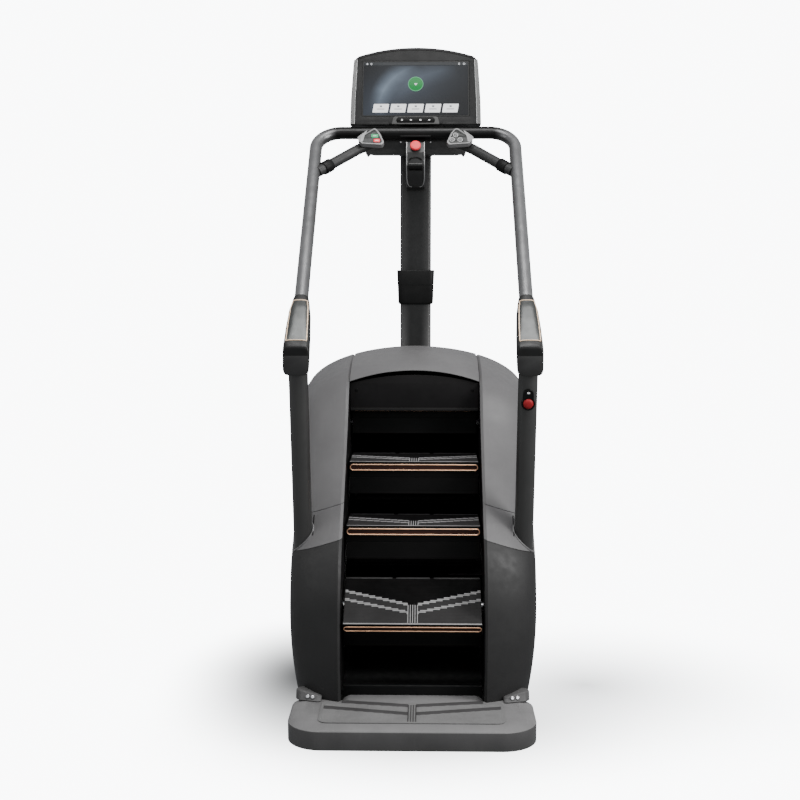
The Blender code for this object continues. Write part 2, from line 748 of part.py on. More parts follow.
def step_places():
    """Each step's name, body word, pin position and turn about X."""
    places = []
    lead = STEP_PHASE * STEP_PITCH
    down = -UP_SLOPE
    start = UPPER_SHAFT + OUTWARD * SPROCKET_RADIUS
    for index in range(RUN_STEPS):
        places.append((start + down * (index * STEP_PITCH + lead), 0.0))
    turn = STEP_PHASE * math.pi
    spin = Matrix.Rotation(turn, 3, "X")
    places.append((LOWER_SHAFT + spin @ (OUTWARD * SPROCKET_RADIUS), turn))
    start = LOWER_SHAFT - OUTWARD * SPROCKET_RADIUS
    for index in range(RUN_STEPS):
        places.append((start + UP_SLOPE * (index * STEP_PITCH + lead), math.pi))
    places.append((UPPER_SHAFT - spin @ (OUTWARD * SPROCKET_RADIUS), math.pi + turn))
    return places


def steps(where, cutters):
    mesh = step_mesh(cutters)
    axes = {}
    for word, place in (("lower_turn_axis", LOWER_SHAFT), ("upper_turn_axis", UPPER_SHAFT)):
        axes[word] = link(word, None, where)
        axes[word].location = place
    for index, (place, turn) in enumerate(step_places()):
        obj = link("step_%d" % (index + 1), mesh.copy(), where, "black")
        axis = {RUN_STEPS: "lower_turn_axis", STEP_COUNT - 1: "upper_turn_axis"}.get(index)
        obj.rotation_euler = (turn, 0, 0)
        if axis:
            obj.parent = axes[axis]
            obj.location = place - axes[axis].location
        else:
            obj.location = place


def sprocket_outline():
    points = []
    corners = SPROCKET_TEETH * 4
    for index in range(corners):
        angle = math.tau * (index + 0.5) / corners
        radius = SPROCKET_RADIUS - (0.0072 if index % 4 < 2 else 0.0145)
        points.append((radius * math.cos(angle), radius * math.sin(angle)))
    return points


def shaft(name, centre, left, right, where, cutters, finish):
    """A shaft with its two chain sprockets; the origin is on its axis."""
    body = cylinder(name, (left, centre.y, centre.z), (right, centre.y, centre.z),
                    SHAFT_RADIUS, where, finish, sides=20)
    for side in (-1, 1):
        middle = side * (CHAIN_INNER + CHAIN_OUTER) / 2
        wheel = to_mesh(flat(name + "_sprocket", [sprocket_outline()], SPROCKET_WIDE,
                             (middle, centre.y, centre.z), ALONG_X, cutters))
        boolean(body, wheel, "UNION")
    return body


def drive_train(where, cutters):
    drive = shaft("drive_shaft", UPPER_SHAFT, -SHAFT_END, SHAFT_END + 0.030, where, cutters,
                  "steel")
    pulley = cylinder("drive_pulley", (BELT_LEFT - 0.002, UPPER_SHAFT.y, UPPER_SHAFT.z),
                      (BELT_RIGHT + 0.002, UPPER_SHAFT.y, UPPER_SHAFT.z), PULLEY_RADIUS,
                      cutters, sides=40)
    boolean(drive, pulley, "UNION")
    shaft("lower_shaft", LOWER_SHAFT, -SHAFT_END, SHAFT_END, where, cutters, "steel")
    small = cylinder("alternator_pulley", (0.235, ALTERNATOR.y, ALTERNATOR.z),
                     (0.330, ALTERNATOR.y, ALTERNATOR.z), 0.0070, where, "steel", sides=16)
    rim = cylinder("small_pulley", (BELT_LEFT - 0.002, ALTERNATOR.y, ALTERNATOR.z),
                   (BELT_RIGHT + 0.002, ALTERNATOR.y, ALTERNATOR.z), SMALL_PULLEY_RADIUS,
                   cutters, sides=24)
    boolean(small, rim, "UNION")
    casing = cylinder("alternator", (0.130, ALTERNATOR.y, ALTERNATOR.z),
                      (PLATE_INNER - GAP, ALTERNATOR.y, ALTERNATOR.z), ALTERNATOR_RADIUS,
                      where, "charcoal", sides=28)
    bore = cylinder("alternator_bore", (0.230, ALTERNATOR.y, ALTERNATOR.z),
                    (0.300, ALTERNATOR.y, ALTERNATOR.z), 0.0076, cutters, sides=16)
    boolean(casing, bore, "DIFFERENCE")


def loop_outline(first, first_radius, second, second_radius, steps=10):
    """The line of a belt or chain round two wheels, in the YZ plane."""
    first = Vector(yz(first))
    second = Vector(yz(second))
    span = second - first
    heading = math.atan2(span.y, span.x)
    open_angle = math.acos((first_radius - second_radius) / span.length)
    points = []
    for index in range(steps + 1):
        angle = heading + open_angle + (math.tau - 2 * open_angle) * index / steps
        points.append(first + Vector((math.cos(angle), math.sin(angle))) * first_radius)
    for index in range(steps + 1):
        angle = heading - open_angle + 2 * open_angle * index / steps
        points.append(second + Vector((math.cos(angle), math.sin(angle))) * second_radius)
    return [tuple(p) for p in points]


def loops(where):
    for side, word in ((-1, "left"), (1, "right")):
        outer = loop_outline(LOWER_SHAFT, SPROCKET_RADIUS + CHAIN_HALF, UPPER_SHAFT,
                             SPROCKET_RADIUS + CHAIN_HALF)
        inner = loop_outline(LOWER_SHAFT, SPROCKET_RADIUS - CHAIN_HALF, UPPER_SHAFT,
                             SPROCKET_RADIUS - CHAIN_HALF)
        flat(word + "_chain", [outer, inner], CHAIN_OUTER - CHAIN_INNER,
             (side * (CHAIN_INNER + CHAIN_OUTER) / 2, 0, 0), ALONG_X, where, "steel")
    large = PULLEY_RADIUS + 0.001
    small = SMALL_PULLEY_RADIUS + 0.001
    outer = loop_outline(UPPER_SHAFT, large + BELT_THICK, ALTERNATOR, small + BELT_THICK, 16)
    inner = loop_outline(UPPER_SHAFT, large, ALTERNATOR, small, 16)
    flat("drive_belt", [outer, inner], BELT_RIGHT - BELT_LEFT,
         ((BELT_LEFT + BELT_RIGHT) / 2, 0, 0), ALONG_X, where, "rubber")


# ------------------------------------------------------------------ platform
def shroud_front(x, z):
    """The lower shroud's front face at half width x, near the floor."""
    tuck = 0.030 * (max(0, 0.36 - z) / 0.30) ** 2
    reach = BODY_HALF - OPENING_HALF
    if x <= OPENING_HALF:
        return RIM[0][0]
    flat_x = OPENING_HALF + (x - OPENING_HALF) * reach / (reach - tuck)
    return RIM[0][0] + drop(flat_x) - drop(OPENING_HALF)


def platform(where):
    centre = Vector((PLATFORM_HALF - PLATFORM_CORNER, PLATFORM_CORNER - HALF_LENGTH))
    half = [(0.0, -HALF_LENGTH)]
    for index in range(9):
        angle = math.pi / 2 * index / 8
        half.append((centre.x + PLATFORM_CORNER * math.sin(angle),
                     centre.y - PLATFORM_CORNER * math.cos(angle)))
    half += [(PLATFORM_HALF, -0.450), (0.383, -0.415)]
    for x in (0.365, 0.345, 0.320, 0.290, 0.260, OPENING_HALF):
        half.append((x, shroud_front(x, PLATFORM_TOP) - PLATFORM_SHY))
    half.append((0.0, RIM[0][0] - PLATFORM_SHY))
    slab = to_mesh(flat("step_platform", [mirrored(half)], PLATFORM_TOP,
                        (0, 0, PLATFORM_TOP / 2), Matrix.Identity(4), where))
    dress(slab, "dark")
    edge = slab.modifiers.new("edge", "BEVEL")
    edge.width = PLATFORM_EDGE
    edge.segments = 2
    edge.limit_method = "ANGLE"
    edge.angle_limit = math.radians(60)
    mat_outline = round_outline([(-MAT_HALF, MAT_FRONT), (MAT_HALF, MAT_FRONT),
                                 (MAT_HALF, MAT_REAR), (-MAT_HALF, MAT_REAR)], 0.040, 4)
    flat("platform_mat", [mat_outline], MAT_THICK,
         (0, 0, PLATFORM_TOP + GAP + MAT_THICK / 2), Matrix.Identity(4), where, "grey")


# ------------------------------------------------------------------- console
def console_outline(grow):
    """The console's face, wider at its foot, with an arched top."""
    points = [(0.250 + grow, 0.000 - grow), (0.248 + grow, 0.100), (0.243 + grow, 0.200),
              (0.238 + grow, 0.258)]
    points.append((0.230 + grow, 0.272 + grow))
    radius_x = (ARCH_HALF + grow) / math.sin(ARCH_ANGLE)
    rise = CONSOLE_ARCH / (1 - math.cos(ARCH_ANGLE))
    for index in range(6, -1, -1):
        angle = ARCH_ANGLE * index / 7
        points.append((radius_x * math.sin(angle),
                       CONSOLE_HEIGHT + grow - rise * (1 - math.cos(angle))))
    return mirrored(points)


def tilted(obj, origin):
    obj.parent = origin
    return obj


def console(where):
    origin = link("console_pivot", None, where)
    origin.location = CONSOLE_FOOT
    origin.rotation_euler = (CONSOLE_TILT, 0, 0)
    wide, low, high = WINDOW
    window = round_outline([(-wide, low), (wide, low), (wide, high), (-wide, high)], 0.006, 2)
    bezel = flat("console_bezel", [console_outline(0), window], 0.012, (0, 0, 0), ALONG_Y,
                 where, "charcoal")
    tilted(bezel, origin)
    wide -= 0.0005
    low += 0.0005
    high -= 0.0005
    pane = round_outline([(-wide, low), (wide, low), (wide, high), (-wide, high)], 0.006, 2)
    tilted(flat("console_glass", [pane], 0.010, (0, 0.0005, 0), ALONG_Y, where, "glass"),
           origin)
    bm = bmesh.new()
    ring = [bm.verts.new((x, 0.0072, z)) for x, z in console_outline(-0.0015)]
    deep = [bm.verts.new((x, 0.040, z)) for x, z in console_outline(-0.0060)]
    back = [bm.verts.new((x * 0.9, 0.050, 0.150 + (z - 0.150) * 0.9))
            for x, z in console_outline(-0.0060)]
    wrap(bm, [ring, deep, back])
    bm.faces.new(back)
    bmesh.ops.recalc_face_normals(bm, faces=bm.faces)
    rear = max(bm.faces, key=lambda face: face.calc_center_median().y)
    if rear.normal.y < 0:
        bmesh.ops.reverse_faces(bm, faces=bm.faces)
    housing = shell_object("console_housing", bm, where, "dark")
    housing.modifiers["wall"].thickness = 0.003
    tilted(housing, origin)


def console_tray(where, cutters):
    """The bracket between crossbar and mast, with the stop button's pod."""
    wing = [(0.0, 1.925), (0.158, 1.925), (0.176, 1.930), (0.186, 1.921), (0.193, 1.930),
            (0.198, 1.948), (0.198, TRAY_TOP), (0.0, TRAY_TOP)]
    tray = to_mesh(flat("console_tray", [mirrored(wing)], TRAY_REAR - TRAY_FRONT,
                        (0, (TRAY_REAR + TRAY_FRONT) / 2, 0), ALONG_Y, where))
    dress(tray, "dark")
    pod_rear = TRAY_REAR - 0.001
    pod = [(pod_rear, 1.800), (pod_rear, 1.910), (TRAY_FRONT + 0.010, 1.970),
           (0.4135, 1.970), (0.3905, 1.930), (0.3960, 1.880), (0.4500, 1.830),
           (0.4800, 1.803)]
    block = to_mesh(flat("pod_block", [pod], 0.074, (0, 0, 0), ALONG_X, cutters))
    boolean(tray, block, "UNION", "MANIFOLD")
    bore = cylinder("pod_bore", BUTTON_SPOT - BUTTON_FACING * 0.026,
                    BUTTON_SPOT + BUTTON_FACING * 0.030, 0.0115, cutters, sides=20)
    boolean(tray, bore, "DIFFERENCE", "MANIFOLD")
    button = cylinder("centre_stop_button", BUTTON_SPOT + BUTTON_FACING * 0.0075,
                      BUTTON_SPOT + BUTTON_FACING * 0.0200, 0.0205, where, "red", sides=24,
                      radius_end=0.0190)
    stem = cylinder("button_stem", BUTTON_SPOT - BUTTON_FACING * 0.018,
                    BUTTON_SPOT + BUTTON_FACING * 0.012, 0.0105, cutters, sides=20)
    boolean(button, stem, "UNION")


def keypads(where, cutters):
    """Keypad pods at the inner ends of the hand bars, with their keys."""
    for side, word in ((-1, "left"), (1, "right")):
        origin = link(word + "_pod_frame", None, where)
        origin.location = (side * POD_CENTRE.x, POD_CENTRE.y, POD_CENTRE.z)
        origin.rotation_euler = (POD_TILT, 0, 0)
        corners = [(side * u, v) for u, v in POD_OUTLINE]
        outline = round_outline(corners, 0.012, 4)
        pod = to_mesh(flat(word + "_keypad_pod", [outline], 0.024, (0, 0.012, 0), ALONG_Y,
                           where))
        dress(pod, "grey")
        tilted(pod, origin)
        if word == "left":
            for name, (u, v), (half_u, half_v), finish in LEFT_KEYS:
                well_u = half_u + 0.0005
                well_v = half_v + 0.0005
                well = box(name + "_well", (-u - well_u, -0.010, v - well_v),
                           (-u + well_u, 0.006, v + well_v), cutters)
                tilted(well, origin)
                boolean(pod, well, "DIFFERENCE")
                key = box(name, (-u - half_u, KEY_FACE, v - half_v),
                          (-u + half_u, KEY_BASE, v + half_v), where, finish)
                tilted(key, origin)
        else:
            for name, (u, v) in RIGHT_KEYS:
                well = cylinder(name + "_well", (u, -0.010, v), (u, 0.006, v),
                                KEY_RADIUS + 0.0005, cutters, sides=16)
                tilted(well, origin)
                boolean(pod, well, "DIFFERENCE")
                key = cylinder(name, (u, KEY_BASE, v), (u, KEY_FACE, v), KEY_RADIUS, where,
                               "grey", sides=16)
                tilted(key, origin)


def inner_bars(where, cutters):
    """Short hand bars from the rail up to the keypad pods."""
    slope = (CROSSBAR - GRIP_TOP).normalized()
    meet = GRIP_TOP + slope * ((BAR_MEET - GRIP_TOP.y) / slope.y)
    for side, word in ((-1, "left"), (1, "right")):
        low = Vector((side * RAIL_X, meet.y, meet.z))
        high = Vector((side * 0.196, 0.3950, 1.953))
        top = Vector((side * 0.150, 0.4000, 1.964))
        way = (high - low).normalized()
        bar = to_mesh(tube(word + "_inner_bar", [low, high, top], BAR_RADIUS, where))
        dress(bar, "dark")
        collar = cylinder(word + "_bar_collar", low + way * 0.050, low + way * 0.088, 0.0245,
                          cutters, sides=16)
        boolean(bar, collar, "UNION")
        span = slope * 0.2
        rail = cylinder(word + "_rail_cut", low - span, low + span, RAIL_RADIUS + 0.0006,
                        cutters, sides=24)
        boolean(bar, rail, "DIFFERENCE")


# --------------------------------------------------------------- small parts
def feet_and_wheels(where, cutters):
    for index, (x, y) in enumerate(FOOT_SPOTS):
        words = ("front" if y < 0 else "rear", "left" if x < 0 else "right")
        pad = [(0.0, 0.0), (0.025, 0.0), (0.025, 0.006), (0.018, 0.010), (0.0058, 0.010),
               (0.0058, 0.038), (0.0, 0.038)]
        mesh = bpy.data.meshes.new("foot")
        bm = bmesh.new()
        knots = [bm.verts.new((r, 0, z)) for r, z in reversed(pad)]
        for a, b in zip(knots, knots[1:]):
            bm.edges.new((a, b))
        bm.to_mesh(mesh)
        bm.free()
        foot = link("%s_%s_levelling_foot" % words, mesh, where, "rubber")
        turn = foot.modifiers.new("turn", "SCREW")
        turn.steps = 16
        turn.render_steps = 16
        turn.use_merge_vertices = True
        turn.merge_threshold = 0.0001
        foot.location = (x, y, 0)
    for side, word in ((-1, "left"), (1, "right")):
        wheel = cylinder(word + "_transport_wheel", (side * 0.240, WHEEL_Y, WHEEL_Z),
                         (side * 0.262, WHEEL_Y, WHEEL_Z), WHEEL_RADIUS, where, "rubber", sides=24)
        axle = cylinder(word + "_wheel_axle", (side * 0.255, WHEEL_Y, WHEEL_Z),
                        (side * 0.284, WHEEL_Y, WHEEL_Z), 0.0058, cutters, sides=16)
        boolean(wheel, axle, "UNION")


def power_inlet(where):
    low, high = INLET
    box("power_inlet", low, high, where, "black")


# ------------------------------------------------------------------ assembly
def main():
    clear_scene()
    parts = collection(COLLECTION)
    cutters = collection("cutters")
    base_frame(parts, cutters)
    side_plates(parts)
    covers(parts, cutters)
    skirts(parts)
    steps(parts, cutters)
    drive_train(parts, cutters)
    loops(parts)
    platform(parts)
    posts(parts, cutters)
    handrail(parts)
    grips(parts, cutters)
    mast(parts, cutters)
    console(parts)
    console_tray(parts, cutters)
    keypads(parts, cutters)
    inner_bars(parts, cutters)
    feet_and_wheels(parts, cutters)
    power_inlet(parts)
    for cutter in cutters.objects:
        cutter.hide_render = True
        cutter.display_type = "WIRE"


main()
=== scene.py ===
import json
import math

import bmesh
import bpy
from mathutils import Matrix, Vector


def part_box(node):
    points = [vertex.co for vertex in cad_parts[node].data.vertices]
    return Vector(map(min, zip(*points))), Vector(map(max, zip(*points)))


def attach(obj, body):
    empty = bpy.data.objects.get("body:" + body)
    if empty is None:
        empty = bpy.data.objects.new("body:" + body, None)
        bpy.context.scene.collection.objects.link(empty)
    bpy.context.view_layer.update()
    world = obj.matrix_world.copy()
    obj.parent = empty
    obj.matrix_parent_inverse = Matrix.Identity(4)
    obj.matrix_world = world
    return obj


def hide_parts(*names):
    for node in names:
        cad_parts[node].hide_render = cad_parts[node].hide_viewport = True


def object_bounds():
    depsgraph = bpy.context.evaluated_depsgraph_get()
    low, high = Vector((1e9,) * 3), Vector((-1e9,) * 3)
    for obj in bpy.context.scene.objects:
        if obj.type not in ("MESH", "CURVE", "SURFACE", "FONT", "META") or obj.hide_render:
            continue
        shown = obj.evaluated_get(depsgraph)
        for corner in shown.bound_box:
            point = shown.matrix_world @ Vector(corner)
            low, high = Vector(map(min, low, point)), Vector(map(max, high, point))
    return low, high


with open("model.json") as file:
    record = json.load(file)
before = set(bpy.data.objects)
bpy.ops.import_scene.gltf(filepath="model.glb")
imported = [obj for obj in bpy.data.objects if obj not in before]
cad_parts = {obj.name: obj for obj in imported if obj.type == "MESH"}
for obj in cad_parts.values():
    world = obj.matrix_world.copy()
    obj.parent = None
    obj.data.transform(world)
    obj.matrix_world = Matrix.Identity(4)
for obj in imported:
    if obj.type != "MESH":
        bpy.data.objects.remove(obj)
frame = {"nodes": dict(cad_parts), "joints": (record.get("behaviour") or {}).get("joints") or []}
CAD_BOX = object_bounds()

# ------------------------------------------------------------ driving values
NODES = frame["nodes"]
JOINTS = {joint["name"]: joint for joint in frame["joints"]}
SIDES = ((-1, "left"), (1, "right"))

# staircase, the same numbers as the CAD steps
UPPER_SHAFT = Vector(JOINTS["stair_turn"]["pos_m"])
LOWER_SHAFT = Vector(JOINTS["lower_shaft_turn"]["pos_m"])
RUN_STEPS = 3
UP_SLOPE = (UPPER_SHAFT - LOWER_SHAFT).normalized()
OUTWARD = Vector((0, -UP_SLOPE.z, UP_SLOPE.y))
STEP_PITCH = (UPPER_SHAFT - LOWER_SHAFT).length / RUN_STEPS
CHAIN_RADIUS = STEP_PITCH / math.pi
STEP_PHASE = 0.191
TREAD_HALF = 0.2285
TREAD_TOP = 0.0715
TREAD_FRONT = -0.137
TREAD_REAR = 0.0715
RISER_FOOT = -0.045
TREAD_BASE = TREAD_TOP - 0.0007
RIB_PITCH = 0.0062
RIB_FIRST = -0.1240
RIB_LAST = 0.0630
CENTRE_HALF = 0.0170     # half width of the band of lines down the middle
LINE_HALF = 0.0056       # half width of a slanted line, along the tread
LINE_REAR = (0.010, -0.048)      # a line's place at the tread's end and at the middle
LINE_FRONT = (-0.026, -0.082)

# covers, the same outlines as the CAD covers: (Y, Z) at the opening and at the flank
OPENING_HALF = 0.236
BODY_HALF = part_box("right_lower_shroud")[1].x
BODY_REAR = CAD_BOX[1].y
REAR_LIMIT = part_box("rear_cover")[1].y - 0.0003
CORNER_DROP = 0.170
SEAM_LOW = 0.597
SEAM_HIGH = 0.700
SEAM_FALL = 0.34
SEAM_GAP = 0.0018
COVER_WALL = 0.0035
COVER_MIDDLE = Vector((0, 0.15, 0.55))      # inside every cover
EDGE_ROLL = 0.0006      # how far a cover's edge rolls out and in
EDGE_DEPTH = 0.0011
RIM_OUT = 0.0010        # the return inside the stairwell: out from the opening, and deep
RIM_DEPTHS = (0.020, 0.0085)
PART_GAP = 0.0012       # round the posts and beside the stairwell
RIM_CHAMFER = 0.0105    # width of the pale chamfer along the stairwell
FLANK_ROWS = 18
FLANK_TUCK = 0.030      # how far the flanks draw in at the floor
TUCK_TOP = 0.36         # height where they start to
TUCK_TALL = 0.30
COWL_REAR = 0.612
COWL_START = 8          # the outline point of the cowl's front corners
COWL_CUT = 1.02         # nothing of the cowl shows below this height
COWL_ARCH = 0.18
RIM = [(-0.467, 0.030), (-0.467, 0.150), (-0.460, 0.300), (-0.440, 0.440),
       (-0.395, 0.550), (-0.300, 0.650), (-0.140, 0.813), (-0.010, 0.950),
       (0.090, 1.085), (0.230, 1.140), (0.390, 1.157)]
RIM_CREST = [(0.535, 1.154), (0.630, 1.128), (0.667, 1.050)]
FLANK = [(-0.327, 0.030), (-0.327, 0.150), (-0.320, 0.290), (-0.302, 0.410),
         (-0.268, 0.490), (-0.195, 0.560), (-0.040, 0.715), (0.085, 0.850),
         (0.180, 0.965), (0.275, 1.008), (0.385, 1.017)]
FLANK_CREST = [(0.480, 1.016), (0.522, 0.998), (0.537, 0.945)]

# posts, rails and mast
RAIL_X = 0.3755
RAIL_RADIUS = 0.0237
RAIL_BEND = 0.095
GRIP_TOP = Vector((0, -0.261, 1.390))
CROSSBAR = Vector((0, 0.430, 2.006))
RAIL_SLOPE = (CROSSBAR - GRIP_TOP).normalized()
POST_X = 0.375
POST_TOP = Vector((0, -0.4004, 1.200))
POST_FOOT = Vector((0, -0.2065, 0.300))
POST_AXIS = (POST_TOP - POST_FOOT).normalized()
POST_AHEAD = Vector((0, -POST_AXIS.z, POST_AXIS.y))
POST_HALF_X = 0.032
POST_HALF_Y = 0.029
GRIP_END = Vector((0, -0.4350, 1.1940))
GRIP_SECTIONS = [               # share along, half sizes, share upright, squareness
    (0.00, 0.0262, 0.0262, 0.0, 0.90), (0.04, 0.0280, 0.0275, 0.0, 0.80),
    (0.10, 0.0305, 0.0290, 0.0, 0.70), (0.28, 0.0370, 0.0360, 0.35, 0.65),
    (0.60, 0.0415, 0.0440, 0.75, 0.60), (0.90, 0.0435, 0.0480, 1.0, 0.42),
    (0.97, 0.0428, 0.0472, 1.0, 0.36), (1.00, 0.0405, 0.0460, 1.0, 0.36)]
MAST_Y = 0.570
BAR_RADIUS = 0.0200
BAR_MEET = 0.242        # where a hand bar leaves the rail, along Y
MAST_LOW, MAST_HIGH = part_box("mast")

# console
CONSOLE_FOOT = Vector((0, 0.420, 2.035))
CONSOLE_TILT = math.radians(-16)
POD_CENTRE = Vector((0.167, 0.350, 1.984))
POD_TILT = math.radians(-32)
LEFT_KEYS = (("start_key", (0.014, 0.004), (0.0140, 0.0088), "green", "key_green"),
             ("stop_key", (0.022, -0.017), (0.0125, 0.0080), "red", "key_red"))
RIGHT_KEYS = (("level_up_key", (-0.016, 0.008)), ("level_down_key", (-0.029, -0.013)),
              ("select_key", (0.001, -0.014)))
ARCH_HALF = 0.222       # the arched top of the console
ARCH_ANGLE = math.radians(28)
ARCH_RISE = 0.036 / (1 - math.cos(ARCH_ANGLE))
CONSOLE_TALL = 0.312
SCREEN_HALF = 0.2045
SCREEN_LOW = 0.032
SCREEN_TOP = 0.256
DISC_Z = 0.1628         # middle of the start disc
SIDE_STRIP = ((0.2485, 0.0020, 0.0165), (0.2478, 0.0500, 0.0165), (0.2468, 0.1000, 0.0160),
              (0.2440, 0.1500, 0.0155), (0.2412, 0.2000, 0.0150), (0.2385, 0.2450, 0.0140),
              (0.2365, 0.2620, 0.0120))      # edge, height and width
TRAY_FRONT = 0.4545
TRIM_X = 0.0335         # the pale lines down the stop pod
STOP_SPOT = Vector((0, 0.4000, 1.9485))

# studio
BACKDROP_GLOW = 10.0
BACKDROP_TINT = (0.965, 0.985, 1.0, 1)
WORLD_LIGHT = 0.42
SHADOWS = (((-0.360, 0.050), (0.62, 0.90), 7.0), ((0.620, -0.05), (1.00, 0.95), 2.2),
           ((0.000, -0.480), (1.00, 0.70), 3.4))    # middle, reach and depth in stops
CAMERA_SPOT = Vector((0.0461, -4.613, 1.516))
CAMERA_PITCH = math.radians(-6.06)
CAMERA_YAW = math.radians(1.2)
CAMERA_LENS = 58.5


# ----------------------------------------------------------------- materials
def noise(tree, coords, scale, detail=2.0, stretch=None):
    """A noise texture in metres; stretch squeezes it along the axes."""
    if stretch:
        mapping = tree.nodes.new("ShaderNodeMapping")
        mapping.inputs["Scale"].default_value = stretch
        tree.links.new(coords, mapping.inputs["Vector"])
        coords = mapping.outputs["Vector"]
    node = tree.nodes.new("ShaderNodeTexNoise")
    node.inputs["Scale"].default_value = scale
    node.inputs["Detail"].default_value = detail
    tree.links.new(coords, node.inputs["Vector"])
    return node.outputs["Fac"]


def spread(tree, value, low, high, from_low=0.35, from_high=0.65):
    """The value's useful range stretched between low and high."""
    node = tree.nodes.new("ShaderNodeMapRange")
    node.inputs["From Min"].default_value = from_low
    node.inputs["From Max"].default_value = from_high
    node.inputs["To Min"].default_value = low
    node.inputs["To Max"].default_value = high
    tree.links.new(value, node.inputs["Value"])
    return node.outputs["Result"]


def blend_colours(tree, share, first, second):
    """The first colour turning into the second as share goes from 0 to 1."""
    node = tree.nodes.new("ShaderNodeMix")
    node.data_type = "RGBA"
    tree.links.new(share, node.inputs["Factor"])
    for socket, colour in (("A", first), ("B", second)):
        spot = [s for s in node.inputs if s.name == socket and s.type == "RGBA"][0]
        if isinstance(colour, tuple):
            spot.default_value = (*colour, 1)
        else:
            tree.links.new(colour, spot)
    return [s for s in node.outputs if s.type == "RGBA"][0]


def calc(tree, operation, first, second=0.0):
    """A maths node on two inputs, each a number or another node's output."""
    node = tree.nodes.new("ShaderNodeMath")
    node.operation = operation
    for spot, value in zip(node.inputs, (first, second)):
        if isinstance(value, float):
            spot.default_value = value
        else:
            tree.links.new(value, spot)
    return node.outputs["Value"]


def object_axes(tree):
    """The X and Z of the shaded point, in metres."""
    coords = tree.nodes.new("ShaderNodeTexCoord").outputs["Object"]
    split = tree.nodes.new("ShaderNodeSeparateXYZ")
    tree.links.new(coords, split.inputs["Vector"])
    return split.outputs["X"], split.outputs["Z"]


def fade(mat, share, near, far):
    """Fades the base colour; near or far is None where the material's own colour stays."""
    tree = mat.node_tree
    socket = tree.nodes["Principled BSDF"].inputs["Base Color"]
    own = socket.links[0].from_socket
    tree.links.new(blend_colours(tree, share, near or own, far or own), socket)
    return mat


def shade(colour, factor):
    """The colour made lighter or darker."""
    return tuple(min(1.0, channel * factor) for channel in colour)


def finish(name, colour, rough, metallic=0.0, mottle=0.16, grain=(700.0, 0.10),
           scuffs=0.0, brushed=None, specular=0.5, dust=0.0):
    """A material with mottled colour, uneven gloss, a fine grain and fine scuffs."""
    mat = bpy.data.materials.new(name)
    mat.use_nodes = True
    tree = mat.node_tree
    shader = tree.nodes["Principled BSDF"]
    shader.inputs["Metallic"].default_value = metallic
    shader.inputs["Specular IOR Level"].default_value = specular
    coords = tree.nodes.new("ShaderNodeTexCoord").outputs["Object"]
    cloud = spread(tree, noise(tree, coords, 7.0, 4.0), 0.0, 1.0)
    base = blend_colours(tree, cloud, shade(colour, 1 - mottle), shade(colour, 1 + mottle))
    gloss = spread(tree, noise(tree, coords, 38.0, 5.0), rough * 0.88, rough * 1.12)
    if dust:
        specks = spread(tree, noise(tree, coords, 420.0, 3.0), 0.0, dust, 0.56, 0.74)
        base = blend_colours(tree, specks, base, shade(colour, 3.0))
    if scuffs:
        rubs = noise(tree, coords, 90.0, 4.0, (1.0, 0.12, 0.12))
        marks = spread(tree, rubs, 0.0, scuffs, 0.60, 0.78)
        base = blend_colours(tree, marks, base, shade(colour, 2.2))
    tree.links.new(base, shader.inputs["Base Color"])
    tree.links.new(gloss, shader.inputs["Roughness"])
    bump = tree.nodes.new("ShaderNodeBump")
    bump.inputs["Strength"].default_value = grain[1]
    bump.inputs["Distance"].default_value = 0.0004
    tree.links.new(noise(tree, coords, grain[0], 3.0, brushed), bump.inputs["Height"])
    tree.links.new(bump.outputs["Normal"], shader.inputs["Normal"])
    return mat


def rail_finish():
    """Silver paint on the side rails, with a painted dark reflection along the crossbar."""
    mat = finish("silver_paint_with_painted_crossbar_reflection", (0.215, 0.215, 0.217), 0.36, metallic=0.80,
                 grain=(1600, 0.10), mottle=0.05, scuffs=0.05)
    x, _ = object_axes(mat.node_tree)
    reach = calc(mat.node_tree, "ABSOLUTE", x)
    # painted reflection: the colour turns near black towards the middle of the crossbar
    return fade(mat, spread(mat.node_tree, reach, 0.0, 1.0, 0.300, 0.372),
                (0.012, 0.012, 0.012), None)


def mast_finish():
    """Dark mast paint, with a painted highlight along the rounded upright edges, weaker higher up.
    """
    mat = finish("dark_mast_paint_with_painted_edge_highlight", (0.011, 0.011, 0.011), 0.38, metallic=0.35,
                 grain=(1100, 0.14), mottle=0.08, specular=0.4)
    tree = mat.node_tree
    x, z = object_axes(tree)
    # painted highlight: paler towards the mast's sides, fading out above 1.22 m
    rim = calc(tree, "POWER", spread(tree, calc(tree, "ABSOLUTE", x), 0.0, 1.0, 0.018, 0.060),
               1.6)
    low = spread(tree, z, 1.0, 0.35, 1.22, 1.36)
    return fade(mat, calc(tree, "MULTIPLY", rim, low), None, (0.105, 0.104, 0.103))


def glow(name, colour, strength, veil=0.10):
    """A lit graphic on the display, with a faint pixel grid."""
    mat = bpy.data.materials.new(name)
    mat.use_nodes = True
    tree = mat.node_tree
    shader = tree.nodes["Principled BSDF"]
    shader.inputs["Roughness"].default_value = 0.25
    shader.inputs["Base Color"].default_value = (0.01, 0.01, 0.01, 1)
    shader.inputs["Emission Strength"].default_value = strength
    shader.inputs["Specular IOR Level"].default_value = 0.06
    coords = tree.nodes.new("ShaderNodeTexCoord").outputs["Object"]
    grid = spread(tree, noise(tree, coords, 900.0, 0.0), 0.0, 1.0)
    tint = blend_colours(tree, grid, shade(colour, 1 - veil), colour)
    tree.links.new(tint, shader.inputs["Emission Color"])
    return mat


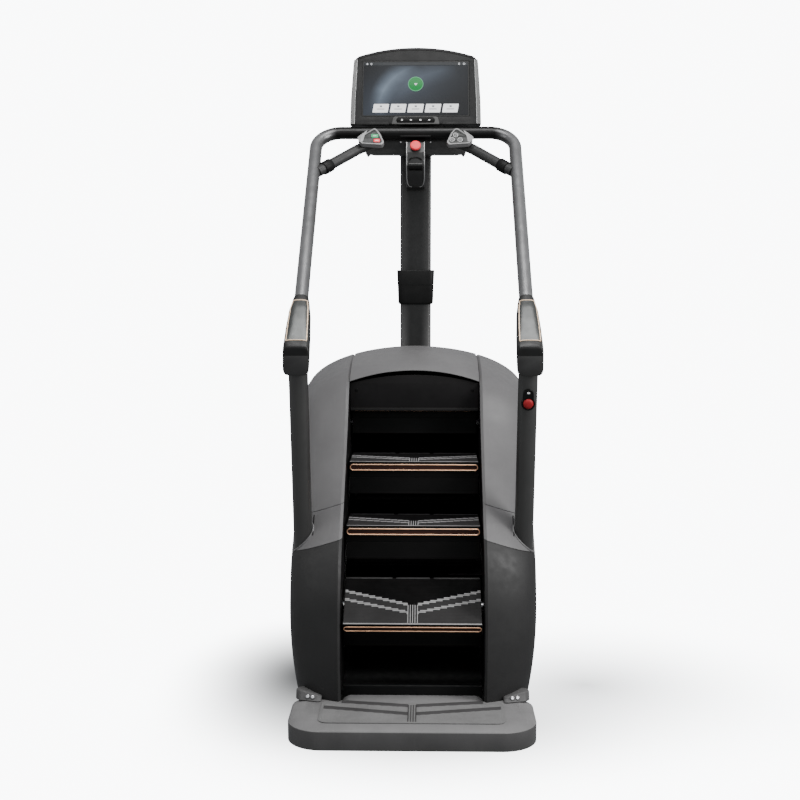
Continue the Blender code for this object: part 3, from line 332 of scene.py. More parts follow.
def streak(tree, x, z, centre, angle, bend, wide, reach):
    """How bright a soft bowed streak of light is at x, z, from 0 to 1."""
    turn = math.radians(angle)
    u = calc(tree, "SUBTRACT", x, centre[0])
    v = calc(tree, "SUBTRACT", z, centre[1])
    along = calc(tree, "ADD", calc(tree, "MULTIPLY", u, math.cos(turn)),
                 calc(tree, "MULTIPLY", v, math.sin(turn)))
    across = calc(tree, "SUBTRACT", calc(tree, "MULTIPLY", v, math.cos(turn)),
                  calc(tree, "MULTIPLY", u, math.sin(turn)))
    bow = calc(tree, "MULTIPLY", calc(tree, "MULTIPLY", along, along), bend)
    off = calc(tree, "ABSOLUTE", calc(tree, "ADD", across, bow))
    side = spread(tree, off, 1.0, 0.0, 0.0, wide)
    end = spread(tree, calc(tree, "ABSOLUTE", along), 1.0, 0.0, reach * 0.3, reach)
    return calc(tree, "MULTIPLY", calc(tree, "POWER", side, 1.5), end)


def screen_finish():
    """A slate screen with soft pale streaks of light on its left half."""
    mat = glow("display_background", (0.03, 0.035, 0.04), 1.0)
    tree = mat.node_tree
    shader = tree.nodes["Principled BSDF"]
    shader.inputs["Roughness"].default_value = 0.30
    shader.inputs["Specular IOR Level"].default_value = 0.03
    coords = tree.nodes.new("ShaderNodeTexCoord").outputs["Object"]
    x, z = object_axes(tree)
    low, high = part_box("console_glass")
    tall = high.z - low.z
    main = streak(tree, x, z, (-0.105, low.z + 0.60 * tall), 52, 2.8, 0.050, 0.125)
    faint = streak(tree, x, z, (0.010, low.z + 0.70 * tall), 24, 1.2, 0.055, 0.150)
    wash = streak(tree, x, z, (-0.060, low.z + 0.42 * tall), 30, 0.0, 0.160, 0.300)
    cloud = spread(tree, noise(tree, coords, 14.0, 3.0), 0.75, 1.0)
    lit = calc(tree, "ADD", main, calc(tree, "MULTIPLY", faint, 0.30))
    lit = calc(tree, "MULTIPLY", calc(tree, "MINIMUM", lit, 1.0), cloud)
    slate = blend_colours(tree, wash, (0.0105, 0.0120, 0.0145), (0.050, 0.062, 0.084))
    tint = blend_colours(tree, lit, slate, (0.235, 0.300, 0.385))
    tree.links.new(tint, shader.inputs["Emission Color"])
    return mat


FINISH = {
    "panel": finish("satin_panel_plastic", (0.098, 0.096, 0.097), 0.42, grain=(900, 0.10),
                    mottle=0.06, scuffs=0.06, specular=0.35),
    "shroud": finish("dark_shroud_plastic", (0.0155, 0.0152, 0.0152), 0.54,
                     grain=(800, 0.14), mottle=0.10, scuffs=0.10, dust=0.03, specular=0.28),
    "black": finish("black_moulded_plastic", (0.005, 0.005, 0.005), 0.50,
                    grain=(800, 0.20), mottle=0.20, dust=0.05, specular=0.12),
    "paint": finish("charcoal_powder_coat", (0.04, 0.04, 0.039), 0.40, metallic=0.35,
                    grain=(1100, 0.16), mottle=0.08, scuffs=0.06),
    "rail": rail_finish(),
    "mast": mast_finish(),
    "tread": finish("ribbed_tread_rubber", (0.0028, 0.0027, 0.0027), 0.85,
                    grain=(500, 0.30), mottle=0.25, scuffs=0.10, dust=0.10, specular=0.04),
    "tread_front": finish("grey_tread_rubber", (0.0225, 0.022, 0.022), 0.85,
                          grain=(500, 0.30), mottle=0.15, scuffs=0.12, dust=0.06,
                          specular=0.05),
    "tread_line": finish("pale_tread_line", (0.2, 0.198, 0.198), 0.58,
                         grain=(500, 0.20), mottle=0.12, specular=0.12),
    # dark inlay tinted brown as a painted reflection of the copper ring
    "nosing": finish("nosing_inlay_with_painted_copper_reflection", (0.022, 0.0085, 0.006), 0.50,
                     grain=(700, 0.20), mottle=0.15, specular=0.15),
    "riser_lip": finish("step_rear_lip", (0.008, 0.0078, 0.0078), 0.50,
                        grain=(700, 0.20), mottle=0.15, specular=0.2),
    "cap": finish("grip_end_cap", (0.0022, 0.0022, 0.0022), 0.42, grain=(900, 0.15),
                  mottle=0.15, specular=0.25),
    "bezel_inner": finish("display_gasket_plastic", (0.02, 0.02, 0.0197), 0.40,
                          grain=(1000, 0.10), mottle=0.06, specular=0.08),
    "surround": finish("control_surround_plastic", (0.045, 0.045, 0.044), 0.42,
                       grain=(1000, 0.10), mottle=0.06, specular=0.10),
    "film": finish("black_control_film", (0.0018, 0.0018, 0.0018), 0.35, grain=(1000, 0.06),
                   mottle=0.20, specular=0.05),
    "chain": finish("oiled_chain_steel", (0.030, 0.029, 0.028), 0.62, grain=(300, 0.25),
                    metallic=0.5, mottle=0.25, dust=0.05, specular=0.2),
    "gloss": finish("gloss_black_plastic", (0.003, 0.003, 0.003), 0.16, grain=(900, 0.05),
                    mottle=0.20, specular=0.15),
    "tray": finish("tray_black_plastic", (0.024, 0.024, 0.024), 0.44, grain=(800, 0.18),
                   mottle=0.15, dust=0.04, specular=0.25),
    "apron": finish("apron_dark_plastic", (0.0058, 0.0053, 0.0055), 0.46, grain=(800, 0.16),
                    mottle=0.15, dust=0.04, specular=0.12),
    "apron_lip": finish("apron_lip_plastic", (0.0075, 0.0073, 0.0073), 0.44,
                        grain=(900, 0.10), mottle=0.10, specular=0.2),
    "screen": screen_finish(),
    "strip_lit": glow("display_status_strip", (0.022, 0.026, 0.031), 1.0),
    "white_lit": glow("display_white_marks", (0.90, 0.92, 0.95), 1.3),
    "green_lit": glow("display_green_disc", (0.004, 0.30, 0.060), 1.1),
    "pale_green_lit": glow("display_disc_ring", (0.16, 0.60, 0.30), 1.0),
    "button_lit": glow("display_button_white", (0.98, 0.99, 1.0), 1.7, 0.05),
    "bar_lit": glow("display_button_bars", (0.36, 0.38, 0.40), 1.0),
    "riser": finish("dark_riser_plastic", (0.0035, 0.0033, 0.0032), 0.55,
                    grain=(700, 0.20), mottle=0.20, dust=0.05, specular=0.1),
    "copper": finish("satin_copper_trim", (0.86, 0.52, 0.33), 0.30, metallic=1.0,
                     grain=(400, 0.12), mottle=0.10, brushed=(0.05, 1, 1)),
    "bar": finish("hand_bar_rubber", (0.018, 0.018, 0.018), 0.50, grain=(650, 0.30),
                  mottle=0.12, dust=0.03, specular=0.3),
    "gold": finish("rose_gold_trim", (0.66, 0.50, 0.36), 0.34, metallic=0.2,
                   grain=(500, 0.10), mottle=0.08),
    "grip": finish("soft_grip_rubber", (0.011, 0.011, 0.011), 0.55, grain=(650, 0.35),
                   mottle=0.15, dust=0.03, specular=0.3),
    "grip_top": finish("grip_sensor_plate", (0.040, 0.042, 0.041), 0.34, metallic=0.45,
                       grain=(900, 0.08), mottle=0.06),
    "platform": finish("platform_rubber", (0.060, 0.059, 0.059), 0.55,
                       grain=(420, 0.45), mottle=0.12, dust=0.05, scuffs=0.10, specular=0.25),
    # lighter than the platform's slab, partly as painted top light
    "deck": finish("platform_deck_rubber_partly_painted_top_light", (0.132, 0.130, 0.130), 0.55, grain=(420, 0.45),
                   mottle=0.10, dust=0.05, scuffs=0.10, specular=0.25),
    "mat": finish("platform_mat_rubber", (0.118, 0.117, 0.116), 0.58,
                  grain=(420, 0.40), mottle=0.12, dust=0.04, scuffs=0.10, specular=0.25),
    "mat_band": finish("mat_band_rubber", (0.04, 0.039, 0.039), 0.60,
                       grain=(420, 0.40), mottle=0.15, specular=0.2),
    "steel": finish("zinc_plated_steel", (0.46, 0.46, 0.47), 0.34, metallic=1.0,
                    grain=(300, 0.15), mottle=0.15, brushed=(0.1, 1, 1)),
    "chrome": finish("polished_screw_steel", (0.72, 0.72, 0.73), 0.18, metallic=1.0,
                     grain=(500, 0.10), mottle=0.10),
    "rubber": finish("foot_rubber_black", (0.012, 0.012, 0.012), 0.80,
                     grain=(450, 0.45), mottle=0.25, dust=0.12),
    "belt": finish("belt_rubber_black", (0.014, 0.014, 0.014), 0.72,
                   grain=(600, 0.40), mottle=0.20, dust=0.08),
    "console": finish("console_bezel_plastic", (0.0125, 0.0125, 0.0125), 0.38,
                      grain=(1000, 0.10), mottle=0.06, specular=0.05),
    "console_side": finish("console_silver_edge", (0.07, 0.07, 0.069), 0.34,
                           metallic=0.25, grain=(1200, 0.08), mottle=0.05, specular=0.15),
    "pod": finish("pod_silver_plastic", (0.15, 0.149, 0.149), 0.40, metallic=0.2,
                  grain=(1000, 0.08), mottle=0.06, specular=0.3),
    "pod_face": finish("pod_face_film", (0.016, 0.0165, 0.016), 0.32, grain=(1000, 0.06),
                       mottle=0.08, specular=0.15),
    "trim": finish("pale_trim_line", (0.330, 0.330, 0.330), 0.34, metallic=0.6,
                   grain=(1200, 0.06), mottle=0.05),
    "red": finish("red_button_plastic", (0.66, 0.045, 0.055), 0.46, grain=(900, 0.08),
                  mottle=0.08, specular=0.2),
    "dark_red": finish("dark_red_button_plastic", (0.24, 0.012, 0.015), 0.42,
                       grain=(900, 0.08), mottle=0.08, specular=0.2),
    "green": finish("green_key_rubber", (0.030, 0.230, 0.095), 0.45, grain=(900, 0.12),
                    mottle=0.10, specular=0.25),
    "key": finish("dark_key_rubber", (0.060, 0.060, 0.060), 0.45, grain=(900, 0.12),
                  mottle=0.10),
    "white": finish("white_print", (0.62, 0.62, 0.62), 0.45, grain=(900, 0.05),
                    mottle=0.05),
}


# ------------------------------------------------------------------ building
def piece(name, mesh, look, body="root", replaces=(), sharp=35):
    """A piece of the visual model: placed, shaded, dressed and riding on its body."""
    mesh.shade_smooth()
    mesh.set_sharp_from_angle(angle=math.radians(sharp))
    obj = bpy.data.objects.new(name, mesh)
    bpy.context.scene.collection.objects.link(obj)
    mesh.materials.clear()
    mesh.materials.append(FINISH[look])
    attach(obj, body)
    if replaces:
        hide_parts(*replaces)
    return obj


def mesh_of(bm, matrix=None):
    """A mesh from a closed body, its faces turned outwards."""
    bmesh.ops.recalc_face_normals(bm, faces=bm.faces)
    mesh = bpy.data.meshes.new("mesh")
    bm.to_mesh(mesh)
    bm.free()
    if matrix is not None:
        mesh.transform(matrix)
    return mesh


def mesh_of_open(bm):
    """A mesh from an open surface, its faces left as they are."""
    mesh = bpy.data.meshes.new("open")
    bm.to_mesh(mesh)
    bm.free()
    return mesh


def evaluated(obj, matrix=None):
    """The mesh that an object's modifiers or curve make; the object is removed."""
    bpy.context.view_layer.update()
    graph = bpy.context.evaluated_depsgraph_get()
    mesh = bpy.data.meshes.new_from_object(obj.evaluated_get(graph))
    bpy.data.objects.remove(obj)
    bm = bmesh.new()
    bm.from_mesh(mesh)
    bmesh.ops.remove_doubles(bm, verts=bm.verts, dist=0.00002)
    bmesh.ops.dissolve_degenerate(bm, edges=bm.edges, dist=0.00001)
    bm.to_mesh(mesh)
    bm.free()
    if matrix is not None:
        mesh.transform(matrix)
    return mesh


def scratch(name, data):
    """An object for use while building, or for the stage."""
    obj = bpy.data.objects.new(name, data)
    bpy.context.scene.collection.objects.link(obj)
    return obj


def joined(meshes):
    """One mesh from several."""
    bm = bmesh.new()
    for mesh in meshes:
        bm.from_mesh(mesh)
    made = bpy.data.meshes.new("joined")
    bm.to_mesh(made)
    bm.free()
    return made


def plate(outlines, thickness, round_edge=0.0, matrix=None):
    """A plate in local XY, middle at z 0; later outlines are holes; edges rounded."""
    curve = bpy.data.curves.new("plate", "CURVE")
    curve.dimensions = "2D"
    curve.fill_mode = "BOTH"
    curve.extrude = thickness / 2 - round_edge
    curve.bevel_depth = round_edge
    curve.bevel_resolution = 2
    curve.offset = -round_edge
    for points in outlines:
        spline = curve.splines.new("POLY")
        spline.points.add(len(points) - 1)
        spline.use_cyclic_u = True
        for knot, (u, v) in zip(spline.points, points):
            knot.co = (u, v, 0, 1)
    return evaluated(scratch("plate", curve), matrix)


def tube(points, radius, cyclic=False, resolution=8, matrix=None):
    """A round tube along points, with flat ends."""
    curve = bpy.data.curves.new("tube", "CURVE")
    curve.dimensions = "3D"
    curve.bevel_depth = radius
    curve.bevel_resolution = resolution
    curve.use_fill_caps = True
    spline = curve.splines.new("POLY")
    spline.points.add(len(points) - 1)
    spline.use_cyclic_u = cyclic
    for knot, point in zip(spline.points, points):
        knot.co = (*point, 1)
    return evaluated(scratch("tube", curve), matrix)


def block(low, high, bevel, segments=3, matrix=None):
    """A block with rounded edges between two corners."""
    low = Vector(low)
    high = Vector(high)
    bm = bmesh.new()
    bmesh.ops.create_cube(bm, size=1)
    bmesh.ops.scale(bm, vec=high - low, verts=bm.verts)
    bmesh.ops.translate(bm, vec=(low + high) / 2, verts=bm.verts)
    bmesh.ops.bevel(bm, geom=bm.edges[:], offset=bevel, segments=segments, profile=0.5,
                    affect="EDGES")
    return mesh_of(bm, matrix)


def turned(profile, matrix=None, steps=40):
    """A solid turned about local Z from (radius, height) points, bottom to top."""
    return lofted([[(u, v, height) for u, v in circle(0, 0, radius, steps)]
                   for radius, height in profile], matrix)


def wrap(bm, rings, caps=True):
    """Faces between closed rings of equal count, with a face on each end."""
    for a, b in zip(rings, rings[1:]):
        for i in range(len(a)):
            j = (i + 1) % len(a)
            bm.faces.new((a[i], a[j], b[j], b[i]))
    if caps:
        bm.faces.new(rings[0])
        bm.faces.new(rings[-1])


def fill(bm, grid):
    """Faces between neighbouring rows of corners."""
    for a, b in zip(grid, grid[1:]):
        for i in range(len(a) - 1):
            bm.faces.new((a[i], a[i + 1], b[i + 1], b[i]))


def thicken(obj, wall):
    """Gives an open surface a wall on its inner side."""
    thick = obj.modifiers.new("wall", "SOLIDIFY")
    thick.thickness = wall
    thick.offset = -1


def round_outline(points, radius, steps=5):
    """The closed outline with each corner turned into an arc."""
    rounded = []
    count = len(points)
    for index, point in enumerate(points):
        here = Vector(point)
        before = Vector(points[index - 1]) - here
        after = Vector(points[(index + 1) % count]) - here
        angle = before.angle(after)
        reach = min(radius / math.tan(angle / 2), before.length * 0.48, after.length * 0.48)
        start = here + before.normalized() * reach
        end = here + after.normalized() * reach
        for step in range(steps + 1):
            t = step / steps
            rounded.append(tuple(start.lerp(here, t).lerp(here.lerp(end, t), t)))
    return rounded


def lofted(rings, matrix=None, caps=True, closed=False):
    """A skin through rings of points; closed leads it back to the first ring."""
    bm = bmesh.new()
    made = [[bm.verts.new(point) for point in ring] for ring in rings]
    wrap(bm, made + made[:1] if closed else made, caps and not closed)
    return mesh_of(bm, matrix)


def circle(u, v, radius, steps=24):
    """The points of a circle, anticlockwise from +u."""
    return [(u + radius * math.cos(a), v + radius * math.sin(a))
            for a in [math.tau * i / steps for i in range(steps)]]


def rectangle(low_u, low_v, high_u, high_v, radius=0.0, steps=5):
    """The corners of a rectangle, rounded where there is a radius."""
    corners = [(low_u, low_v), (high_u, low_v), (high_u, high_v), (low_u, high_v)]
    return round_outline(corners, radius, steps) if radius else corners


def mirrored(points):
    """Points of a half outline at +u, closed by their mirror image."""
    return points + [(-u, v) for u, v in reversed(points) if abs(u) > 1e-6]


def sided(points, side):
    """The right side's outline as it is on this side, running the same way round."""
    return [(side * u, v) for u, v in points][::side]


def smooth_line(points, pieces):
    """Points of a smooth curve through the given ones, with pieces to a stretch."""
    lengths = [(b - a).length for a, b in zip(points, points[1:])]
    slopes = [(points[1] - points[0]) / lengths[0]]
    for i in range(1, len(points) - 1):
        before = (points[i] - points[i - 1]) / lengths[i - 1]
        after = (points[i + 1] - points[i]) / lengths[i]
        slopes.append(before.lerp(after, lengths[i - 1] / (lengths[i - 1] + lengths[i])))
    slopes.append((points[-1] - points[-2]) / lengths[-1])
    line = []
    for i, length in enumerate(lengths):
        for step in range(pieces):
            t = step / pieces
            start = points[i] * (2 * t ** 3 - 3 * t ** 2 + 1)
            end = points[i + 1] * (3 * t ** 2 - 2 * t ** 3)
            bend = slopes[i] * (t ** 3 - 2 * t ** 2 + t) + slopes[i + 1] * (t ** 3 - t ** 2)
            line.append(start + end + bend * length)
    line.append(points[-1].copy())
    return line


ACROSS_X = Matrix(((0, 0, 1), (1, 0, 0), (0, 1, 0))).to_4x4()    # outline in YZ
ACROSS_Y = Matrix(((1, 0, 0), (0, 0, -1), (0, 1, 0))).to_4x4()   # outline in XZ


def across_x(x=0.0):
    """The frame of an outline in YZ at x."""
    return Matrix.Translation((x, 0, 0)) @ ACROSS_X


def across_y(y):
    """The frame of an outline in XZ at y."""
    return Matrix.Translation((0, y, 0)) @ ACROSS_Y


def level(z):
    """The frame of an outline in XY at z."""
    return Matrix.Translation((0, 0, z))


def facing(spot, way):
    """A frame at spot with its Z axis along way."""
    return Matrix.Translation(spot) @ Vector(way).to_track_quat("Z", "X").to_matrix().to_4x4()


def screw_head(spot, way, radius=0.006, height=0.0025):
    """A domed screw head with a hexagon socket."""
    dome = [(radius * 0.55, -0.004), (radius * 0.55, 0.0), (radius, 0.0),
            (radius, height * 0.35), (radius * 0.88, height * 0.8), (radius * 0.55, height),
            (radius * 0.50, height)]
    socket = [(radius * 0.48, height), (radius * 0.44, height * 0.1)]
    return turned(dome + socket, facing(spot, way), steps=18)


# -------------------------------------------------------------------- covers
def drop(x):
    """How far the covers fall away from the centre line at half width x."""
    share = min(abs(x) / BODY_HALF, 1)
    return CORNER_DROP * (1 - math.sqrt(1 - share * share))


def outlines():
    """The body's side outline at the opening and at the flank, front to rear."""
    rim = [Vector(p) for p in RIM + RIM_CREST]
    flank = [Vector(p) for p in FLANK + FLANK_CREST]
    for index in range(7, -1, -1):
        rim.append(Vector((BODY_REAR - drop(OPENING_HALF), RIM[index][1])))
        flank.append(Vector((BODY_REAR - drop(BODY_HALF), FLANK[index][1])))
    return rim, flank


def cover_line(x, pieces=8):
    """The outer surface's outline at half width x, front to rear."""
    rim, flank = outlines()
    share = (drop(x) - drop(OPENING_HALF)) / (drop(BODY_HALF) - drop(OPENING_HALF))
    line = smooth_line([r.lerp(f, share) for r, f in zip(rim, flank)], pieces)
    return [Vector((min(p.x, REAR_LIMIT), p.y)) for p in line]


def waist(x, z):
    """Draws the flank in near the floor."""
    if abs(x) <= OPENING_HALF:
        return x
    tuck = FLANK_TUCK * (max(0, TUCK_TOP - z) / TUCK_TALL) ** 2
    share = (abs(x) - OPENING_HALF) / (BODY_HALF - OPENING_HALF)
    return math.copysign(abs(x) - tuck * share, x)


def flank_surface(side):
    """The open outer surface of one flank, with the chamfer and return at its rim."""
    first = math.asin((OPENING_HALF + RIM_CHAMFER) / BODY_HALF)
    bm = bmesh.new()
    grid = []
    rim_line = cover_line(OPENING_HALF)
    inward = []
    for i in range(len(rim_line)):
        ahead = rim_line[min(i + 1, len(rim_line) - 1)]
        behind = rim_line[max(i - 1, 0)]
        along = (ahead - behind).normalized()
        inward.append(Vector((along.y, -along.x)))
    x = side * (OPENING_HALF + RIM_OUT)
    for depth in RIM_DEPTHS:
        grid.append([bm.verts.new((x, p.x + n.x * depth, p.y + n.y * depth))
                     for p, n in zip(rim_line, inward)])
    for row in range(FLANK_ROWS + 1):
        angle = first + (math.pi / 2 - first) * row / FLANK_ROWS
        x = BODY_HALF * math.sin(angle)
        grid.append([bm.verts.new((side * waist(x, p.y), p.x, p.y))
                     for p in cover_line(x)])
    fill(bm, grid)
    edge = grid[-1]
    half = len(edge) // 2
    for i in range(half - 1):
        bm.faces.new((edge[i], edge[i + 1], edge[-2 - i], edge[-1 - i]))
    return bm


def cowl_line(x, limit, pieces=8):
    """The cowl's outline at x from its arched front edge, over the top to the rear."""
    line = cover_line(x, pieces)[COWL_START * pieces:]
    cut = COWL_ARCH * (1 - (x / limit) ** 2)
    front = []
    for index in range(pieces):
        place = (cut + (1 - cut) * index / pieces) * pieces
        before = int(place)
        front.append(line[before].lerp(line[before + 1], place - before))
    return front + line[pieces:]


def centre_surface(crown=False):
    """The open outer surface between the flanks: all round, or from the cowl's front."""
    limit = OPENING_HALF - PART_GAP
    columns = 24
    bm = bmesh.new()
    grid = []
    for column in range(columns + 1):
        x = -limit + 2 * limit * column / columns
        line = cowl_line(x, limit) if crown else cover_line(x)
        grid.append([bm.verts.new((x, p.x, p.y)) for p in line])
    fill(bm, grid)
    return bm


def trim(bm, point, away):
    """Removes the part of an open surface on the side that away points to."""
    bmesh.ops.bisect_plane(bm, geom=bm.verts[:] + bm.edges[:] + bm.faces[:], dist=1e-6,
                           plane_co=point, plane_no=away, clear_outer=True)


def shell(name, bm, look, replaces, holes=()):
    """A moulded cover: an open surface with its edges rolled in, made a thin shell."""
    bmesh.ops.remove_doubles(bm, verts=bm.verts, dist=0.00005)
    bmesh.ops.recalc_face_normals(bm, faces=bm.faces)
    votes = sum(1 if face.normal.dot(face.calc_center_median() - COVER_MIDDLE) > 0 else -1
                for face in bm.faces)
    if votes < 0:
        bmesh.ops.reverse_faces(bm, faces=bm.faces)
    bm.normal_update()
    rim = [edge for edge in bm.edges if edge.is_boundary]
    rolls = {}
    for edge in rim:
        face = edge.link_faces[0]
        out = (edge.verts[0].co + edge.verts[1].co) / 2 - face.calc_center_median()
        out -= face.normal * out.dot(face.normal)
        along = (edge.verts[1].co - edge.verts[0].co).normalized()
        out = (out - along * out.dot(along)).normalized()
        for vert in edge.verts:
            push, normal = rolls.get(vert, (Vector(), Vector()))
            rolls[vert] = (push + out, normal + face.normal)
    made = bmesh.ops.extrude_edge_only(bm, edges=rim)
    fresh = [v for v in made["geom"] if isinstance(v, bmesh.types.BMVert)]
    source = {tuple(round(c, 6) for c in v.co): r for v, r in rolls.items()}
    for vert in fresh:
        push, normal = source[tuple(round(c, 6) for c in vert.co)]
        vert.co += push.normalized() * EDGE_ROLL - normal.normalized() * EDGE_DEPTH
    obj = scratch(name, mesh_of_open(bm))
    thicken(obj, COVER_WALL)
    for hole in holes:
        cut = obj.modifiers.new("hole", "BOOLEAN")
        cut.operation = "DIFFERENCE"
        cut.object = hole
    piece(name, evaluated(obj), look, replaces=[replaces])


def seam(height, side, above):
    """The plane that keeps what is above or below a seam, half the gap away."""
    way = Vector((side * SEAM_FALL, 0, 1)).normalized()
    spot = Vector((side * OPENING_HALF, 0, height))
    if above:
        return spot + way * SEAM_GAP / 2, -way
    return spot - way * SEAM_GAP / 2, way


def flank_piece(side, name, look, low=None, high=None, holes=()):
    """One moulded flank cover between two seams."""
    bm = flank_surface(side)
    if low:
        trim(bm, *seam(low, side, True))
    if high:
        trim(bm, *seam(high, side, False))
    shell(name + "_skin", bm, look, name, holes)


def covers():
    """The two flanks in three parts each, the top cowl and the rear cover."""
    for side, word in SIDES:
        hole = scratch("post_hole", post_mesh(side, PART_GAP))
        flank_piece(side, word + "_lower_shroud", "shroud", None, SEAM_LOW, [hole])
        flank_piece(side, word + "_mid_panel", "panel", SEAM_LOW, SEAM_HIGH,
                    [hole])
        flank_piece(side, word + "_side_panel", "panel", SEAM_HIGH)
        bpy.data.objects.remove(hole)
    half_x, half_y = MAST_HIGH.x + 0.0015, (MAST_HIGH.y - MAST_Y) + 0.0015
    hole = rectangle(-half_x, MAST_Y - half_y, half_x, MAST_Y + half_y, 0.020)
    cutter = scratch("mast_hole", plate([hole], 0.3, matrix=level(1.15)))
    crown = centre_surface(True)
    trim(crown, (0, COWL_REAR - SEAM_GAP / 2, 0), (0, 1, 0))
    trim(crown, (0, 0, COWL_CUT), (0, 0, -1))
    shell("top_cowl_skin", crown, "panel", "top_cowl", [cutter])
    bpy.data.objects.remove(cutter)
    rear = centre_surface()
    trim(rear, (0, COWL_REAR + SEAM_GAP / 2, 0), (0, -1, 0))
    low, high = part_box("power_inlet")
    inlet = scratch("inlet_hole", block((low.x - 0.0004, 0.64, low.z - 0.0004),
                                        (high.x + 0.0004, 0.75, high.z + 0.0004), 0.002))
    shell("rear_cover_skin", rear, "panel", "rear_cover", [inlet])
    bpy.data.objects.remove(inlet)


def under_pan():
    """The black sheet that closes the stairwell below the steps."""
    low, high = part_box("base_frame")
    pan = plate([rectangle(-0.262, low.y + 0.020, 0.262, high.y - 0.006, 0.010)], 0.002,
                0.0004, level(high.z + 0.0018))
    piece("under_stair_pan", pan, "tray")


# --------------------------------------------------------------------- posts
def post_offset(side, angle, grow):
    """From the centre line in the middle plane to a post's side at an angle."""
    reach = side * POST_X + math.cos(angle) * (POST_HALF_X + grow)
    return POST_AHEAD * math.sin(angle) * (POST_HALF_Y + grow) + Vector((reach, 0, 0))


def post_mesh(side, grow=0.0, steps=40):
    """An oval post along its leaning centre line."""
    turns = [math.tau * index / steps for index in range(steps)]
    return lofted([[spot + post_offset(side, angle, grow) for angle in turns]
                   for spot in (POST_FOOT - POST_AXIS * grow, POST_TOP + POST_AXIS * grow)])


# ----------------------------------------------------------------- staircase
def line_place(line, x):
    """Where a slanted line runs at half width x."""
    share = (abs(x) - CENTRE_HALF) / (TREAD_HALF - CENTRE_HALF)
    return line[1] + (line[0] - line[1]) * share


def line_span(line, y):
    """The stretch of half width where a slanted line covers the rib at y."""
    slope = (line[0] - line[1]) / (TREAD_HALF - CENTRE_HALF)
    middle = CENTRE_HALF + (y - line[1]) / slope
    reach = LINE_HALF / slope
    low = max(CENTRE_HALF, middle - reach)
    high = min(TREAD_HALF - 0.002, middle + reach)
    return (low, high) if high > low else None


def rib(bm, x_low, x_high, y, low, high, half=0.0019):
    """A low ridge along X with a narrower top."""
    corners = []
    for z, grow in ((low, 0.0), (high, 0.0006)):
        for x, v in ((x_low, -half), (x_high, -half), (x_high, half), (x_low, half)):
            inset = grow if v < 0 else -grow
            corners.append(bm.verts.new((x, y + v + inset, z)))
    base, top = corners[:4], corners[4:]
    wrap(bm, [base, top])


def ribs():
    """Tread ribs: black behind the slanted lines, grey ahead of them, pale on them."""
    rear, front, pale = bmesh.new(), bmesh.new(), bmesh.new()
    y = RIB_FIRST
    while y < RIB_LAST:
        for side in (-1, 1):
            spans = sorted(filter(None, (line_span(LINE_REAR, y), line_span(LINE_FRONT, y))))
            x = CENTRE_HALF
            for low, high in spans + [(TREAD_HALF - 0.002, TREAD_HALF - 0.002)]:
                if low - x > 0.001:
                    ahead = y < line_place(LINE_REAR, (low + x) / 2)
                    rib(front if ahead else rear, side * x, side * low, y, TREAD_BASE,
                        TREAD_TOP)
                if high > low:
                    rib(pale, side * low, side * high, y, TREAD_BASE, TREAD_TOP + 0.0003,
                        0.0028)
                x = high
        if y > LINE_REAR[1]:
            rib(rear, -CENTRE_HALF, CENTRE_HALF, y, TREAD_BASE, TREAD_TOP)
        y += RIB_PITCH
    for index in range(5):
        x = (index - 2) * 0.0078
        strip = rectangle(x - 0.0015, RIB_FIRST - 0.003, x + 0.0015, LINE_REAR[1] - 0.002)
        wrap(pale, [[pale.verts.new((u, v, z)) for u, v in strip]
                    for z in (TREAD_BASE, TREAD_TOP + 0.0003)])
    return mesh_of(rear), mesh_of(front), mesh_of(pale)


def nosing(low, nose):
    """The copper ring round the nosing and the dark inlay inside it, tinted brown as a painted
    copper reflection.
    """
    half, tall = TREAD_HALF - 0.0025, 0.0098
    middle = low + 0.0123
    line = []
    for index in range(26):
        angle = math.pi * index / 25 - math.pi / 2
        line.append(Vector((half - tall + tall * math.cos(angle), TREAD_FRONT + 0.0004,
                            middle + tall * math.sin(angle))))
    line += [Vector((-p.x, p.y, p.z)) for p in reversed(line)]
    inlay = rectangle(-half, middle - tall, half, middle + tall, tall - 0.0005, 8)
    return (tube(line, 0.0023, cyclic=True, resolution=3),
            plate([inlay], 0.0012, 0.0003, across_y(nose - 0.0004)))


def step_brackets(under):
    """The lugs under the tread's ends with their chain pins."""
    lug = round_outline([(-0.060, under + 0.008), (-0.014, -0.012), (0.014, -0.012),
                         (0.040, under + 0.008)], 0.006)
    pin = [(0.0055, 0), (0.006, 0.0005), (0.006, 0.0210), (0.0052, 0.0220)]
    parts = []
    for side in (-1, 1):
        parts.append(plate([lug], 0.0070, 0.0006, across_x(side * (TREAD_HALF - 0.0045))))
        start = Vector((side * (TREAD_HALF - 0.0065), 0, 0))
        parts.append(turned(pin, facing(start, (side, 0, 0)), 20))
    return joined(parts)


